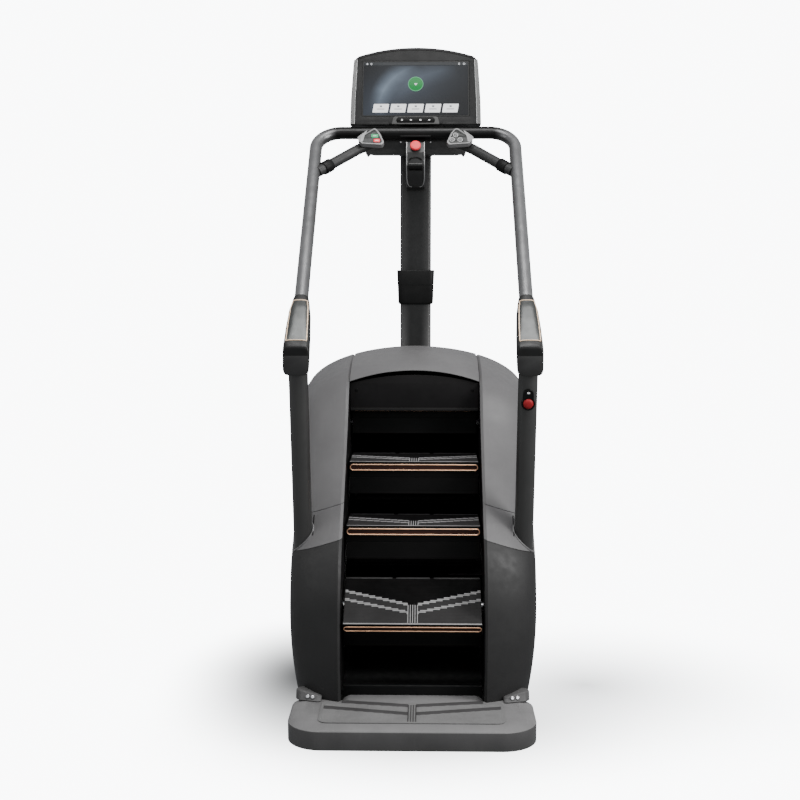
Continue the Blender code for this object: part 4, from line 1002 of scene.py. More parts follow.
def step_meshes():
    """Every mesh of a step, about its chain pin, with its look and material slot."""
    half = TREAD_HALF
    low = TREAD_TOP - 0.0330
    under = TREAD_TOP - 0.0210
    nose = TREAD_FRONT + 0.0022
    profile = [(nose, low + 0.002), (nose, TREAD_BASE - 0.0035),
               (nose + 0.0012, TREAD_BASE - 0.001), (nose + 0.004, TREAD_BASE),
               (TREAD_REAR - 0.003, TREAD_BASE), (TREAD_REAR, TREAD_BASE - 0.003),
               (TREAD_REAR, under + 0.012), (TREAD_REAR - 0.006, under + 0.012),
               (TREAD_REAR - 0.006, under + 0.016), (-0.060, under + 0.016),
               (-0.066, under + 0.008), (-0.112, under + 0.008), (-0.118, under),
               (-0.1285, under), (-0.1285, low), (nose + 0.002, low)]
    black_ribs, front_ribs, pale_ribs = ribs()
    deck = joined([plate([profile], 2 * half, 0.0004, ACROSS_X), black_ribs])
    pads = []
    for side in (-1, 1):
        pad = [(half - 0.0012, RIB_FIRST - 0.004), (CENTRE_HALF, RIB_FIRST - 0.004),
               (CENTRE_HALF, LINE_REAR[1] - 0.002), (half - 0.0012, LINE_REAR[0] - 0.002)]
        pads.append(plate([sided(pad, side)], 0.0004, 0.0, level(TREAD_BASE + 0.0001)))
    lip_front = block((-half + 0.001, TREAD_FRONT + 0.0035, TREAD_BASE - 0.0005),
                      (half - 0.001, TREAD_FRONT + 0.0085, TREAD_TOP + 0.0002), 0.0003)
    rear_lip = []
    for start, end in ((-half + 0.001, -0.0700), (-0.0570, 0.0570), (0.0700, half - 0.001)):
        rear_lip.append(block((start, TREAD_REAR - 0.0075, TREAD_BASE - 0.002),
                              (end, TREAD_REAR - 0.0005, TREAD_TOP + 0.0012), 0.0008))
    riser = [(-0.1300, RISER_FOOT + 0.001), (-0.1300, 0.0125), (-0.1285, 0.0135),
             (-0.1285, 0.0155), (-0.1300, 0.0165), (-0.1300, low - 0.0005),
             (-0.1225, low - 0.0005), (-0.1215, RISER_FOOT + 0.006),
             (-0.1160, RISER_FOOT + 0.006), (-0.1160, RISER_FOOT), (-0.1290, RISER_FOOT)]
    skin = plate([riser], 2 * half - 0.001, 0.0003, ACROSS_X)
    ring, inlay = nosing(low, nose)
    return (("deck", deck, "tread", "tread"),
            ("front_insert", joined(pads + [front_ribs]), "tread_front", "tread"),
            ("grip_lines", joined([pale_ribs, lip_front]), "tread_line", "tread"),
            ("rear_lip", joined(rear_lip), "riser_lip", "tread"),
            ("riser_skin", skin, "riser", "tread"), ("nosing_ring", ring, "copper", "steel"),
            ("nosing_inlay", inlay, "nosing", "tread"),
            ("brackets", step_brackets(under), "riser", "tread"))


def step_frames():
    """Each step's body and the place of its chain pin, in the order of the CAD steps."""
    lead = STEP_PHASE * STEP_PITCH
    top = UPPER_SHAFT + OUTWARD * CHAIN_RADIUS
    bottom = LOWER_SHAFT - OUTWARD * CHAIN_RADIUS
    spin = Matrix.Rotation(STEP_PHASE * math.pi, 4, "X")
    half_turn = Matrix.Rotation(math.pi, 4, "X")
    frames = []
    for index in range(RUN_STEPS):
        along = UP_SLOPE * (index * STEP_PITCH + lead)
        frames.append(("steps_down", Matrix.Translation(top - along)))
    frames.append(("step_lower_turn", Matrix.Translation(LOWER_SHAFT) @ spin
                   @ Matrix.Translation(OUTWARD * CHAIN_RADIUS)))
    for index in range(RUN_STEPS):
        along = UP_SLOPE * (index * STEP_PITCH + lead)
        frames.append(("steps_up", Matrix.Translation(bottom + along) @ half_turn))
    frames.append(("step_upper_turn", Matrix.Translation(UPPER_SHAFT) @ spin
                   @ Matrix.Translation(-OUTWARD * CHAIN_RADIUS) @ half_turn))
    return frames


def steps():
    """The eight steps, each from the same meshes."""
    kinds = step_meshes()
    for index, (body, matrix) in enumerate(step_frames()):
        name = "step_%d" % (index + 1)
        for word, mesh, look, slot in kinds:
            copy = mesh.copy()
            copy.transform(matrix)
            piece(name + "_" + word, copy, look, body,
                  [name] if word == "deck" else ())


# ------------------------------------------------------------------ platform
def shroud_front(x):
    """The covers' front face near the floor at half width x."""
    if x <= OPENING_HALF:
        return RIM[0][0]
    tuck = FLANK_TUCK * ((TUCK_TOP - 0.075) / TUCK_TALL) ** 2
    reach = BODY_HALF - OPENING_HALF
    flat_x = OPENING_HALF + (x - OPENING_HALF) * reach / (reach - tuck)
    return RIM[0][0] + drop(flat_x) - drop(OPENING_HALF)


def platform_half(low, high):
    """The right half of the platform's outline, from the front to the covers."""
    corner = 0.115
    half = [(0.0, low.y)]
    for index in range(25):
        angle = math.pi / 2 * index / 24
        half.append((high.x - corner + corner * math.sin(angle),
                     low.y + corner - corner * math.cos(angle)))
    half += [(high.x, -0.452), (high.x - 0.004, -0.430), (high.x - 0.014, -0.415)]
    for x in (0.365, 0.350, 0.335, 0.320, 0.305, 0.290, 0.275, 0.260, OPENING_HALF):
        half.append((x, shroud_front(x) - 0.004))
    half += [(OPENING_HALF - 0.0015, RIM[0][0] - 0.004), (OPENING_HALF - 0.0015, high.y),
             (0.0, high.y)]
    return [p for p in half if p[1] <= high.y + 1e-6]


def platform():
    """The step-up platform's slab and the rounded deck on it, the deck coloured lighter partly as
    painted top light.
    """
    low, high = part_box("step_platform")
    outline = mirrored(platform_half(low, high))
    tall = high.z - 0.0140
    piece("platform_slab", plate([outline], tall, 0.0025, level(tall / 2)), "platform",
          replaces=["step_platform"], sharp=50)
    rings = []
    for inset, rise in ((0.0030, -0.0160), (0.0006, -0.0160), (0.0006, -0.0145),
                        (0.0080, -0.0100), (0.0200, -0.0050), (0.0330, -0.0015),
                        (0.0450, 0.0003)):
        narrow = 1 - inset / high.x
        short = 1 - inset / (high.y - low.y)
        rings.append([(x * narrow, high.y + (y - high.y) * short, high.z + rise)
                      for x, y in outline])
    piece("platform_deck", lofted(rings), "deck", sharp=60)
    platform_mat()
    platform_lugs(high.z)
    # the kick plate is black plastic, its black also standing in as painted shade at the
    # platform's rear
    kick = [(0.0002, -0.006), (0.0002, 0.031), (0.003, 0.034), (0.014, 0.034), (0.014, 0.031),
            (0.0032, 0.031), (0.0032, -0.006)]
    kick = [(high.y + y, high.z + z) for y, z in reversed(kick)]
    piece("kick_plate", plate([kick], 2 * (OPENING_HALF - 0.003), 0.0004, ACROSS_X), "black")


def platform_mat():
    """The mat with its slanted bands, centre lines and fine ribs."""
    low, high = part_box("platform_mat")
    top = high.z
    half = [(0.0, low.y), (high.x, low.y), (high.x, -0.470)]
    half += [(x, shroud_front(x) - 0.014) for x in (0.270, 0.250)]
    half += [(0.2290, RIM[0][0] - 0.012), (0.2290, high.y), (0.0, high.y)]
    pad = plate([round_outline(mirrored(half), 0.034, 6)], 0.0030, 0.0006, level(top - 0.0017))
    piece("platform_mat_pad", pad, "mat", replaces=["platform_mat"])
    bands = []
    for side in (-1, 1):
        for reach, outer_y, inner_y in ((0.232, -0.470, -0.506), (0.288, -0.524, -0.582)):
            band = [(reach, outer_y + 0.014), (0.013, inner_y + 0.014),
                    (0.013, inner_y - 0.014), (reach, outer_y - 0.014)]
            bands.append(plate([sided(band, side)], 0.0010, 0.0002, level(top)))
    for index in range(4):
        x = (index - 1.5) * 0.0082
        bands.append(block((x - 0.0019, low.y + 0.010, top - 0.0006),
                           (x + 0.0019, -0.500, top + 0.0005), 0.0003))
    piece("platform_mat_bands", joined(bands), "mat_band")
    fine = bmesh.new()
    y = low.y + 0.012
    while y < -0.480:
        inset = max(0.0, low.y + 0.022 - y) * 0.8       # inside the rounded corners
        end = high.x - 0.010 - inset if y < -0.492 else 0.222
        for side in (-1, 1):
            rib(fine, side * 0.0185, side * end, y, top - 0.0003, top + 0.0003, 0.0016)
        y += 0.0068
    piece("platform_mat_ribs", mesh_of(fine), "mat")


def platform_lugs(top):
    """The brackets beside the platform's rear corners, each held by two screws."""
    middle = top + 0.015
    lug = [(0.300, -0.4760), (0.372, -0.4560), (0.388, -0.4360), (0.3800, -0.4120)]
    lug += [(x, shroud_front(x) - 0.003) for x in (0.350, 0.325, 0.300)]
    for side, word in SIDES:
        pad = plate([round_outline(sided(lug, side), 0.012, 5)], 0.030, 0.0040, level(middle))
        for vert in pad.vertices:
            if vert.co.z > middle:
                vert.co.z -= max(0.0, 0.356 - abs(vert.co.x)) * 0.28
                vert.co.y += 0.014
        piece(word + "_platform_lug", pad, "platform")
        heads = [screw_head(Vector((side * x, y, middle)), (0, -0.906, 0.42), 0.0068, 0.004)
                 for x, y in ((0.3290, -0.4612), (0.3460, -0.4570))]
        piece(word + "_platform_lug_screws", joined(heads), "chrome")


# --------------------------------------------------------------------- posts
def cover_skin(x, z, rear=False):
    """The outer surface's Y at half width x and height z, on the front or the rear."""
    line = cover_line(abs(x), 6)
    if rear:
        line = line[len(line) // 2:][::-1]
    for a, b in zip(line, line[1:]):
        if a.y <= z <= b.y:
            return a.x + (b.x - a.x) * (z - a.y) / (b.y - a.y)
    return line[0].x


def post_skin_point(side, angle, grow):
    """Where the post's side line at an angle comes out of the covers."""
    foot = POST_FOOT + post_offset(side, angle, grow)
    low, high = 0.0, (POST_TOP - POST_FOOT).length
    for _ in range(24):
        middle = (low + high) / 2
        spot = foot + POST_AXIS * middle
        if spot.y > cover_skin(spot.x, spot.z):
            low = middle
        else:
            high = middle
    return foot + POST_AXIS * low


def posts():
    """The leaning posts with their collars, and the screw and slit beside each."""
    for side, word in SIDES:
        piece(word + "_post_tube", post_mesh(side), "paint",
              replaces=[word + "_post"])
        loop = [post_skin_point(side, math.tau * i / 56, 0.0042) for i in range(56)]
        piece(word + "_post_collar", tube(loop, 0.0034, cyclic=True, resolution=4), "panel")
        x, z = side * 0.4040, 0.590
        screw = screw_head(Vector((x, cover_skin(x, z), z)),
                           Vector((side * 0.25, -1, 0.12)).normalized(), 0.0055, 0.003)
        piece(word + "_panel_screw", screw, "chrome")
        x = side * 0.3395
        slit = [Vector((x, cover_skin(x, z) - 0.0002, z))
                for z in [0.597 + 0.058 * index / 5 for index in range(6)]]
        piece(word + "_panel_slot", tube(slit, 0.0020, resolution=3), "black")


def post_stop():
    """The stop button on the right post, with its keyhole bezel."""
    low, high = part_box("post_stop_button")
    spot = (low + high) / 2 - POST_AHEAD * 0.0313
    outline = [(0.0225 * math.sin(math.tau * i / 48), -0.0225 * math.cos(math.tau * i / 48))
               for i in range(-17, 18)]
    outline += [(0.0170 * math.cos(math.pi * i / 16), 0.0340 + 0.0150 * math.sin(math.pi * i / 16))
                for i in range(17)]
    upright = Matrix((Vector((1, 0, 0)), POST_AXIS, POST_AHEAD)).transposed().to_4x4()
    place = Matrix.Translation(spot + POST_AHEAD * 0.0232) @ upright
    bezel = plate([outline, circle(0, 0, 0.0178, 40)], 0.0275, 0.0012, place)
    piece("post_stop_bezel", bezel, "gloss")
    dome = [(0.0150, 0.0200), (0.0168, 0.0205), (0.0170, 0.0330), (0.0160, 0.0380),
            (0.0135, 0.0410), (0.0080, 0.0425), (0.0030, 0.0428)]
    piece("post_stop_dome", turned(dome, facing(spot, POST_AHEAD)), "dark_red",
          "post_stop_button", ["post_stop_button"])
    mark = spot + POST_AXIS * 0.0370 + POST_AHEAD * 0.0371
    badge = plate([rectangle(-0.0045, -0.0028, 0.0045, 0.0028, 0.001)], 0.0008, 0.0002,
                  Matrix.Translation(mark) @ upright)
    piece("post_stop_mark", badge, "white")


# --------------------------------------------------------------------- rails
def handrail():
    """Both side rails and the crossbar in one bent tube."""
    half = [Vector((RAIL_X, *(GRIP_TOP + RAIL_SLOPE * 0.0005).yz))]
    for index in range(25):
        angle = math.pi / 2 * index / 24
        point = CROSSBAR + RAIL_SLOPE * (RAIL_BEND * math.sin(angle) - RAIL_BEND)
        half.append(Vector((RAIL_X - RAIL_BEND + RAIL_BEND * math.cos(angle), *point.yz)))
    points = half + [Vector((-p.x, p.y, p.z)) for p in reversed(half)]
    piece("handrail_tube", tube(points, RAIL_RADIUS, resolution=10), "rail",
          replaces=["handrail"], sharp=50)
    pad = block((-0.058, CROSSBAR.y - 0.0215, CROSSBAR.z - 0.0175),
                (0.058, CROSSBAR.y - 0.0165, CROSSBAR.z - 0.0105), 0.0015)
    piece("crossbar_plate", pad, "black")


def grip_section(share):
    """Half sizes, share upright and squareness of the grip at a share along it."""
    for a, b in zip(GRIP_SECTIONS, GRIP_SECTIONS[1:]):
        if share <= b[0]:
            t = (share - a[0]) / (b[0] - a[0])
            t = t * t * (3 - 2 * t) * 0.4 + t * 0.6
            return [p + (q - p) * t for p, q in zip(a[1:], b[1:])]


def grip_point(side, share, angle, grow=0.0):
    """A point of the grip's surface, share along it and at an angle round it."""
    half_x, half_z, upright, square = grip_section(share)
    lean = math.atan2(RAIL_SLOPE.z, RAIL_SLOPE.y) * (1 - upright)
    centre = GRIP_TOP.lerp(GRIP_END, share)
    u = math.copysign(abs(math.cos(angle)) ** square, math.cos(angle)) * (half_x + grow)
    v = math.copysign(abs(math.sin(angle)) ** square, math.sin(angle)) * (half_z + grow)
    return Vector((side * (RAIL_X + 0.003 * upright) + u, centre.y - v * math.sin(lean),
                   centre.z + v * math.cos(lean)))


def grip_ring(side, share, grow=0.0):
    """The grip's outline at a share along it."""
    return [grip_point(side, share, math.tau * i / 48, grow) for i in range(48)]


def grips():
    """The moulded grips where the rails meet the posts."""
    for side, word in SIDES:
        body = lofted([grip_ring(side, index / 32 * 0.955) for index in range(33)])
        piece(word + "_grip_body", body, "grip",
              replaces=[word + "_grip"], sharp=60)
        cap = lofted([grip_ring(side, share, grow) for share, grow in
                      ((0.935, 0.0003), (0.972, 0.0003), (0.984, -0.0012), (0.988, -0.0035),
                       (0.988, -0.0100))])
        piece(word + "_grip_cap", cap, "cap", sharp=60)
        foot = [grip_point(side, 0.985, math.radians(a), -0.0003) for a in range(176, 365, 4)]
        middle = Vector((foot[0].x + foot[-1].x, 0, foot[0].z + foot[24].z)) / 2
        rings = [[(middle.x + (p.x - middle.x) * share, y, middle.z + (p.z - middle.z) * share)
                  for p in foot]
                 for y, share in ((-0.4320, 0.96), (-0.4320, 1.0), (-0.4338, 1.0),
                                  (-0.4346, 0.94))]
        piece(word + "_grip_foot", lofted(rings), "grip")
        grip_sensor(side, word)


def grip_sensor(side, word):
    """The sensor plate on the grip's top and the trim round it."""
    bm = bmesh.new()
    grid = []
    for index in range(25):
        share = 0.110 + 0.775 * (index / 24)
        power = 1 / grip_section(share)[3]
        line = []
        for step in range(25):
            across = -0.76 + 1.52 * (step / 24)
            angle = math.acos(math.copysign(abs(across) ** power, across))
            line.append(bm.verts.new(grip_point(side, share, angle, 0.0008)))
        grid.append(line)
    fill(bm, grid)
    loop = (grid[0] + [line[-1] for line in grid[1:-1]] + grid[-1][::-1]
            + [line[0] for line in reversed(grid[1:-1])])
    edge = [vert.co.copy() for vert in loop]
    bmesh.ops.recalc_face_normals(bm, faces=bm.faces)
    if sum(face.normal.y - face.normal.z for face in bm.faces) > 0:
        bmesh.ops.reverse_faces(bm, faces=bm.faces)
    panel = scratch("sensor", mesh_of_open(bm))
    thicken(panel, 0.0012)
    piece(word + "_grip_sensor_plate", evaluated(panel), "grip_top")
    piece(word + "_grip_trim", tube(edge, 0.0020, cyclic=True, resolution=3), "gold")


def inner_bars():
    """The hand bars from the side rails to the tray, with their collars."""
    meet = GRIP_TOP + RAIL_SLOPE * ((BAR_MEET - GRIP_TOP.y) / RAIL_SLOPE.y)
    for side, word in SIDES:
        low = Vector((side * RAIL_X, meet.y, meet.z))
        high = Vector((side * 0.196, 0.3950, 1.953))
        top = Vector((side * 0.150, 0.4000, 1.964))
        way = (high - low).normalized()
        start = low + way * (RAIL_RADIUS - 0.002)
        points = [start, low.lerp(high, 0.55)]
        for index in range(9):
            t = index / 8
            near = low.lerp(high, 0.86).lerp(high, t)
            points.append(near.lerp(high.lerp(top, 0.5), t))
        points.append(top)
        piece(word + "_hand_bar", tube(points, BAR_RADIUS, resolution=8), "bar",
              replaces=[word + "_inner_bar"], sharp=60)
        collar = [(0.0200, 0.050), (0.0236, 0.050), (0.0244, 0.0515), (0.0244, 0.0865),
                  (0.0236, 0.088), (0.0200, 0.088)]
        piece(word + "_hand_bar_collar", turned(collar, facing(low, way)), "black")


# ---------------------------------------------------------------------- mast
def mast_ring(half_x, half_y, radius, z):
    """A rounded rectangle about the mast's axis at z."""
    corners = rectangle(-half_x, MAST_Y - half_y, half_x, MAST_Y + half_y, radius, 8)
    return [(x, y, z) for x, y in corners]


def mast():
    """The mast with its arm to the console, and the collar round it."""
    top = MAST_HIGH.z
    rings = [mast_ring(0.0605 - inset, 0.035 - inset, 0.017, z)
             for z, inset in ((MAST_LOW.z, 0.0), (top - 0.003, 0.0), (top, 0.003))]
    neck = [(0.4743, 2.0404), (0.5000, 2.1302), (0.5375, 2.1130), (0.5375, 2.0300),
            (0.4800, 2.0300)]
    arm = plate([neck[::-1]], 0.096, 0.003, ACROSS_X)
    piece("mast_tube", joined([lofted(rings), arm]), "mast",
          replaces=["mast"])
    low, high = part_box("mast_collar")
    rings = [mast_ring(half_x, half_y, 0.022, low.z + (high.z - low.z) * share)
             for share, half_x, half_y in (
                 (0.0, 0.0620, 0.0360), (0.0, 0.0645, 0.0385), (0.015, 0.0662, 0.0402),
                 (0.06, 0.0690, 0.0430), (0.55, 0.0712, 0.0452), (0.553, 0.0704, 0.0444),
                 (0.567, 0.0704, 0.0444), (0.57, 0.0714, 0.0454), (0.975, 0.0738, 0.0478),
                 (0.995, 0.0728, 0.0468), (1.0, 0.0712, 0.0452), (1.0, 0.0620, 0.0360))]
    piece("mast_collar_cover", lofted(rings, caps=False), "black",
          replaces=["mast_collar"], sharp=50)


# ------------------------------------------------------------------- console
def arch_line(half, top, steps):
    """The right half of the console's arched top, from its end to the middle."""
    radius = half / math.sin(ARCH_ANGLE)
    return [(radius * math.sin(a), top - ARCH_RISE * (1 - math.cos(a)))
            for a in [ARCH_ANGLE * i / steps for i in range(steps, -1, -1)]]


def console_outline(grow):
    """The console's face, wider at its foot, with an arched top."""
    half = [(0.250 + grow, -grow), (0.2485 + grow, 0.100), (0.243 + grow, 0.200),
            (0.238 + grow, 0.258), (0.230 + grow, 0.272 + grow)]
    half += arch_line(ARCH_HALF + grow, CONSOLE_TALL + grow, 21)[1:]
    return round_outline(mirrored(half), 0.006, 3)


def console_frame():
    """The console's own frame: its face in XZ, Y pointing back."""
    return Matrix.Translation(CONSOLE_FOOT) @ Matrix.Rotation(CONSOLE_TILT, 4, "X")


def sheet_at(y, outlines, thickness=0.0008, edge=0.0002):
    """A thin plate on the console's face, its middle at y in the console's frame."""
    return plate(outlines, thickness, edge, console_frame() @ across_y(y))


def screen_rectangle(inset, radius):
    """The display's window, drawn in by inset."""
    return rectangle(-SCREEN_HALF + inset, SCREEN_LOW + inset, SCREEN_HALF - inset,
                     SCREEN_TOP - inset, radius)


def thin(outlines, y=-0.0061):
    """A printed or lit mark of the display."""
    return sheet_at(y, outlines, 0.0004, 0.0001)


def console():
    """The bezel, the gasket round the display, and everything on them."""
    face = sheet_at(-0.0002, [console_outline(-0.0020), screen_rectangle(0, 0.006)], 0.0112,
                    0.0012)
    piece("console_bezel_face", face, "console",
          replaces=["console_bezel"])
    gasket = [screen_rectangle(0.0006, 0.006), screen_rectangle(0.0042, 0.004)]
    piece("display_gasket", sheet_at(-0.0048, gasket, 0.0020, 0.0004), "bezel_inner")
    band = (mirrored(arch_line(ARCH_HALF, 0.3105, 24))
            + mirrored(arch_line(ARCH_HALF, 0.3000, 24))[::-1])
    piece("console_top_band", sheet_at(-0.0060, [band], 0.0016, 0.0004), "black")
    side_strips()
    control_strip()
    rear_pieces()
    display_pieces()


def side_strips():
    """The silver edges of the console, each with a pale line along it."""
    place = console_frame()
    strips = []
    lines = []
    for side in (-1, 1):
        rings = []
        for u, v, wide in SIDE_STRIP:
            corners = ((u - wide, -0.0066), (u - 0.0020, -0.0068), (u + 0.0006, -0.0050),
                       (u + 0.0008, 0.0060), (u - 0.0040, 0.0300), (u - 0.0100, 0.0360),
                       (u - 0.0100, 0.0060), (u - wide, -0.0050))
            rings.append([(side * x, y, v) for x, y in corners])
        strips.append(lofted(rings, place))
        points = [Vector((side * (u - wide + 0.0006), -0.0069, min(max(v, 0.0030), 0.2610)))
                  for u, v, wide in SIDE_STRIP[0:5:2] + SIDE_STRIP[5:]]
        lines.append(tube(points, 0.0011, resolution=3, matrix=place))
    piece("console_side_strips", joined(strips), "console_side")
    piece("console_side_lines", joined(lines), "trim")


def control_strip():
    """The slots, the black strip and its printed marks at the console's foot."""
    slot = [(0.098, -0.0005), (0.2300, -0.0005), (0.2310, 0.0105), (0.1060, 0.0105)]
    foot = [sheet_at(-0.0062, [round_outline(sided(slot, side), 0.003, 3)], 0.0012, 0.0003)
            for side in (-1, 1)]
    piece("console_foot_slots", joined(foot), "black")
    surround = [(-0.092, 0.0008), (0.092, 0.0008), (0.084, 0.0285), (0.078, 0.0315),
                (-0.078, 0.0315), (-0.084, 0.0285)]
    piece("control_strip_surround",
          sheet_at(-0.0062, [round_outline(surround, 0.004, 4)], 0.0014, 0.0005), "surround")
    strip = [(-0.071, 0.0060), (0.071, 0.0060), (0.0745, 0.0175), (0.067, 0.0290),
             (-0.067, 0.0290), (-0.0745, 0.0175)]
    piece("control_strip", sheet_at(-0.0070, [round_outline(strip, 0.007, 5)], 0.0014, 0.0004),
          "film")
    marks = []
    for x, ringed in ((-0.052, True), (-0.018, False), (0.018, True), (0.052, False)):
        if ringed:
            mark = [circle(x, 0.0170, 0.0036, 20), circle(x, 0.0170, 0.0021, 20)]
        else:
            mark = [rectangle(x - 0.0034, 0.0150, x + 0.0034, 0.0190, 0.0012)]
        marks.append(thin(mark, -0.0079))
    piece("control_marks", joined(marks), "white")


def rear_pieces():
    """The smooth housing behind the bezel, with vents and screws."""
    place = console_frame()
    rings = [[(x * pull, y, 0.150 + (z - 0.150) * pull) for x, z in console_outline(grow)]
             for y, grow, pull in ((0.0060, -0.0030, 1.0), (0.0120, -0.0030, 1.0),
                                   (0.0300, -0.0045, 1.0), (0.0390, -0.0070, 0.995),
                                   (0.0440, -0.0080, 0.975), (0.0480, -0.0090, 0.945),
                                   (0.0500, -0.0090, 0.900))]
    piece("console_rear_shell", lofted(rings, place), "black",
          replaces=["console_housing"], sharp=50)
    vents = []
    for row in range(9):
        z = 0.178 + row * 0.0085
        for x in (-0.105, 0.105):
            vents.append(block((x - 0.045, 0.0490, z), (x + 0.045, 0.0512, z + 0.0045), 0.0008,
                               2, place))
    piece("console_vents", joined(vents), "paint")
    back = place.to_3x3() @ Vector((0, 1, 0))
    heads = [screw_head(place @ Vector((x, 0.0498, z)), back, 0.0045, 0.002)
             for x in (-0.200, 0.200) for z in (0.040, 0.245)]
    piece("console_rear_screws", joined(heads), "steel")


def display_pieces():
    """The lit display: status strip with marks, start disc and five blank buttons."""
    piece("display_pane", sheet_at(-0.0050, [screen_rectangle(0.0045, 0.004)], 0.0010, 0.0002),
          "screen", replaces=["console_glass"])
    status = rectangle(-SCREEN_HALF + 0.005, 0.2375, SCREEN_HALF - 0.005, SCREEN_TOP - 0.005,
                       0.002)
    piece("status_strip", sheet_at(-0.0057, [status], 0.0006, 0.0001), "strip_lit")
    star = []
    for index in range(12):
        angle = math.tau * index / 12
        reach = 0.0022 if index % 2 else 0.0046
        star.append((-0.186 + reach * math.cos(angle), 0.2442 + reach * math.sin(angle)))
    marks = [thin([star])]
    for x in (-0.1705, 0.1660):
        marks.append(thin([rectangle(x - 0.0030, 0.2405, x + 0.0030, 0.2482, 0.0008),
                           rectangle(x - 0.0018, 0.2418, x + 0.0018, 0.2466, 0.0004)]))
    marks.append(thin([circle(0.185, 0.2442, 0.0042), circle(0.185, 0.2442, 0.0026)]))
    tick = [(-0.0075, 0.1655), (0.0075, 0.1655), (0.0, 0.1560)]
    marks.append(thin([round_outline(tick, 0.0015, 3)[::-1]], -0.0069))
    piece("display_marks", joined(marks), "white_lit")
    disc, ring, core = (circle(0, DISC_Z, radius, 48) for radius in (0.0268, 0.0292, 0.0270))
    piece("start_disc", sheet_at(-0.0061, [disc], 0.0008, 0.0002), "green_lit")
    piece("start_disc_ring", sheet_at(-0.0062, [ring, core], 0.0010, 0.0002),
          "pale_green_lit")
    buttons = []
    bars = []
    for index in range(5):
        x = (index - 2) * 0.0664
        corners = [(x - 0.0320, 0.0480), (x + 0.0262, 0.0480), (x + 0.0318, 0.0820),
                   (x - 0.0262, 0.0820)]
        buttons.append(sheet_at(-0.0060, [round_outline(corners, 0.0022, 3)], 0.0007, 0.0002))
        bars.append(thin([rectangle(x - 0.015, 0.0600, x + 0.014, 0.0630, 0.001)], -0.0064))
        bars.append(thin([rectangle(x - 0.004, 0.0690, x + 0.005, 0.0760, 0.002)], -0.0064))
    piece("display_buttons", joined(buttons), "button_lit")
    piece("display_button_bars", joined(bars), "bar_lit")


# ---------------------------------------------------------- tray and stop pod
def tray():
    """The black tray under the console."""
    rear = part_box("console_tray")[1].y
    wing = [(0.0, 1.9255), (0.060, 1.9255), (0.066, 1.928), (0.158, 1.928), (0.176, 1.931),
            (0.186, 1.9215), (0.192, 1.931), (0.197, 1.948), (0.197, 1.984), (0.191, 1.990),
            (0.0, 1.990)]
    wings = plate([mirrored(wing)], rear - TRAY_FRONT - 0.001, 0.003,
                  across_y((rear + TRAY_FRONT) / 2))
    pod = [(0.5320, 1.800), (0.5320, 1.910), (0.4645, 1.970), (0.4135, 1.970),
           (0.3905, 1.930), (0.3930, 1.902), (0.3960, 1.880), (0.4180, 1.856),
           (0.4500, 1.830), (0.4800, 1.803)]
    body = plate([round_outline(pod[::-1], 0.006, 3)], 0.0735, 0.005, ACROSS_X)
    piece("console_tray_body", joined([wings, body]), "tray",
          replaces=["console_tray"])


def stop_pod():
    """The stop button in front of the tray with its seat, trims, arch and barrel."""
    trims = []
    for side in (-1, 1):
        line = [Vector((side * x, y, z)) for x, y, z in (
            (TRIM_X, 0.4130, 1.9700), (TRIM_X, 0.3955, 1.9365), (TRIM_X, 0.3900, 1.9290),
            (TRIM_X, 0.3928, 1.9020), (TRIM_X, 0.3955, 1.8830), (TRIM_X, 0.4180, 1.8560),
            (0.0330, 0.4480, 1.8315), (0.0305, 0.4640, 1.8180), (0.0240, 0.4760, 1.8080),
            (0.0150, 0.4785, 1.8050))]
        trims.append(tube(smooth_line(line, 5), 0.0017, resolution=3))
    piece("stop_pod_trims", joined(trims), "trim")
    place = facing(STOP_SPOT, Vector((0, -0.866, 0.5)).normalized())
    collar = [(0.0115, -0.004), (0.0165, -0.004), (0.0168, -0.0012), (0.0150, 0.0000),
              (0.0120, 0.0004)]
    rings = [[(u, v, height) for u, v in circle(0, 0, radius, 36)] for radius, height in collar]
    piece("stop_button_seat", lofted(rings, place, closed=True), "black")
    head = [(0.0095, -0.0170), (0.0098, -0.0100), (0.0098, 0.0060), (0.0175, 0.0072),
            (0.0200, 0.0090), (0.0206, 0.0120), (0.0202, 0.0155), (0.0185, 0.0182),
            (0.0150, 0.0196), (0.0080, 0.0201), (0.0030, 0.0202)]
    piece("centre_stop_head", turned(head, place, 48), "red", "centre_stop_button",
          ["centre_stop_button"])
    arch = [Vector((0.0225 * math.cos(a), 0.3915, 1.9000 + 0.0110 * math.sin(a)))
            for a in [math.pi * index / 14 for index in range(15)]]
    piece("stop_pod_arch", tube(arch, 0.0024, resolution=3), "gloss")
    barrel = turned([(0.0150, -0.0260), (0.0170, -0.0250), (0.0172, 0.0250), (0.0150, 0.0260)],
                    facing(Vector((0, 0.4080, 1.8800)), (1, 0, 0)), 40)
    piece("stop_pod_barrel", barrel, "gloss")


def tray_screws():
    """The two screws in the tray's front face."""
    heads = [screw_head(Vector((x, TRAY_FRONT - 0.0008, 1.9740)), (0, -1, 0), 0.0038, 0.003)
             for x in (-0.058, 0.058)]
    piece("tray_screws", joined(heads), "steel")


def pod_frame(side, y=0.0):
    """The frame of an outline on a keypad pod's face, y behind it."""
    spot = Vector((side * POD_CENTRE.x, POD_CENTRE.y, POD_CENTRE.z))
    return Matrix.Translation(spot) @ Matrix.Rotation(POD_TILT, 4, "X") @ across_y(y)


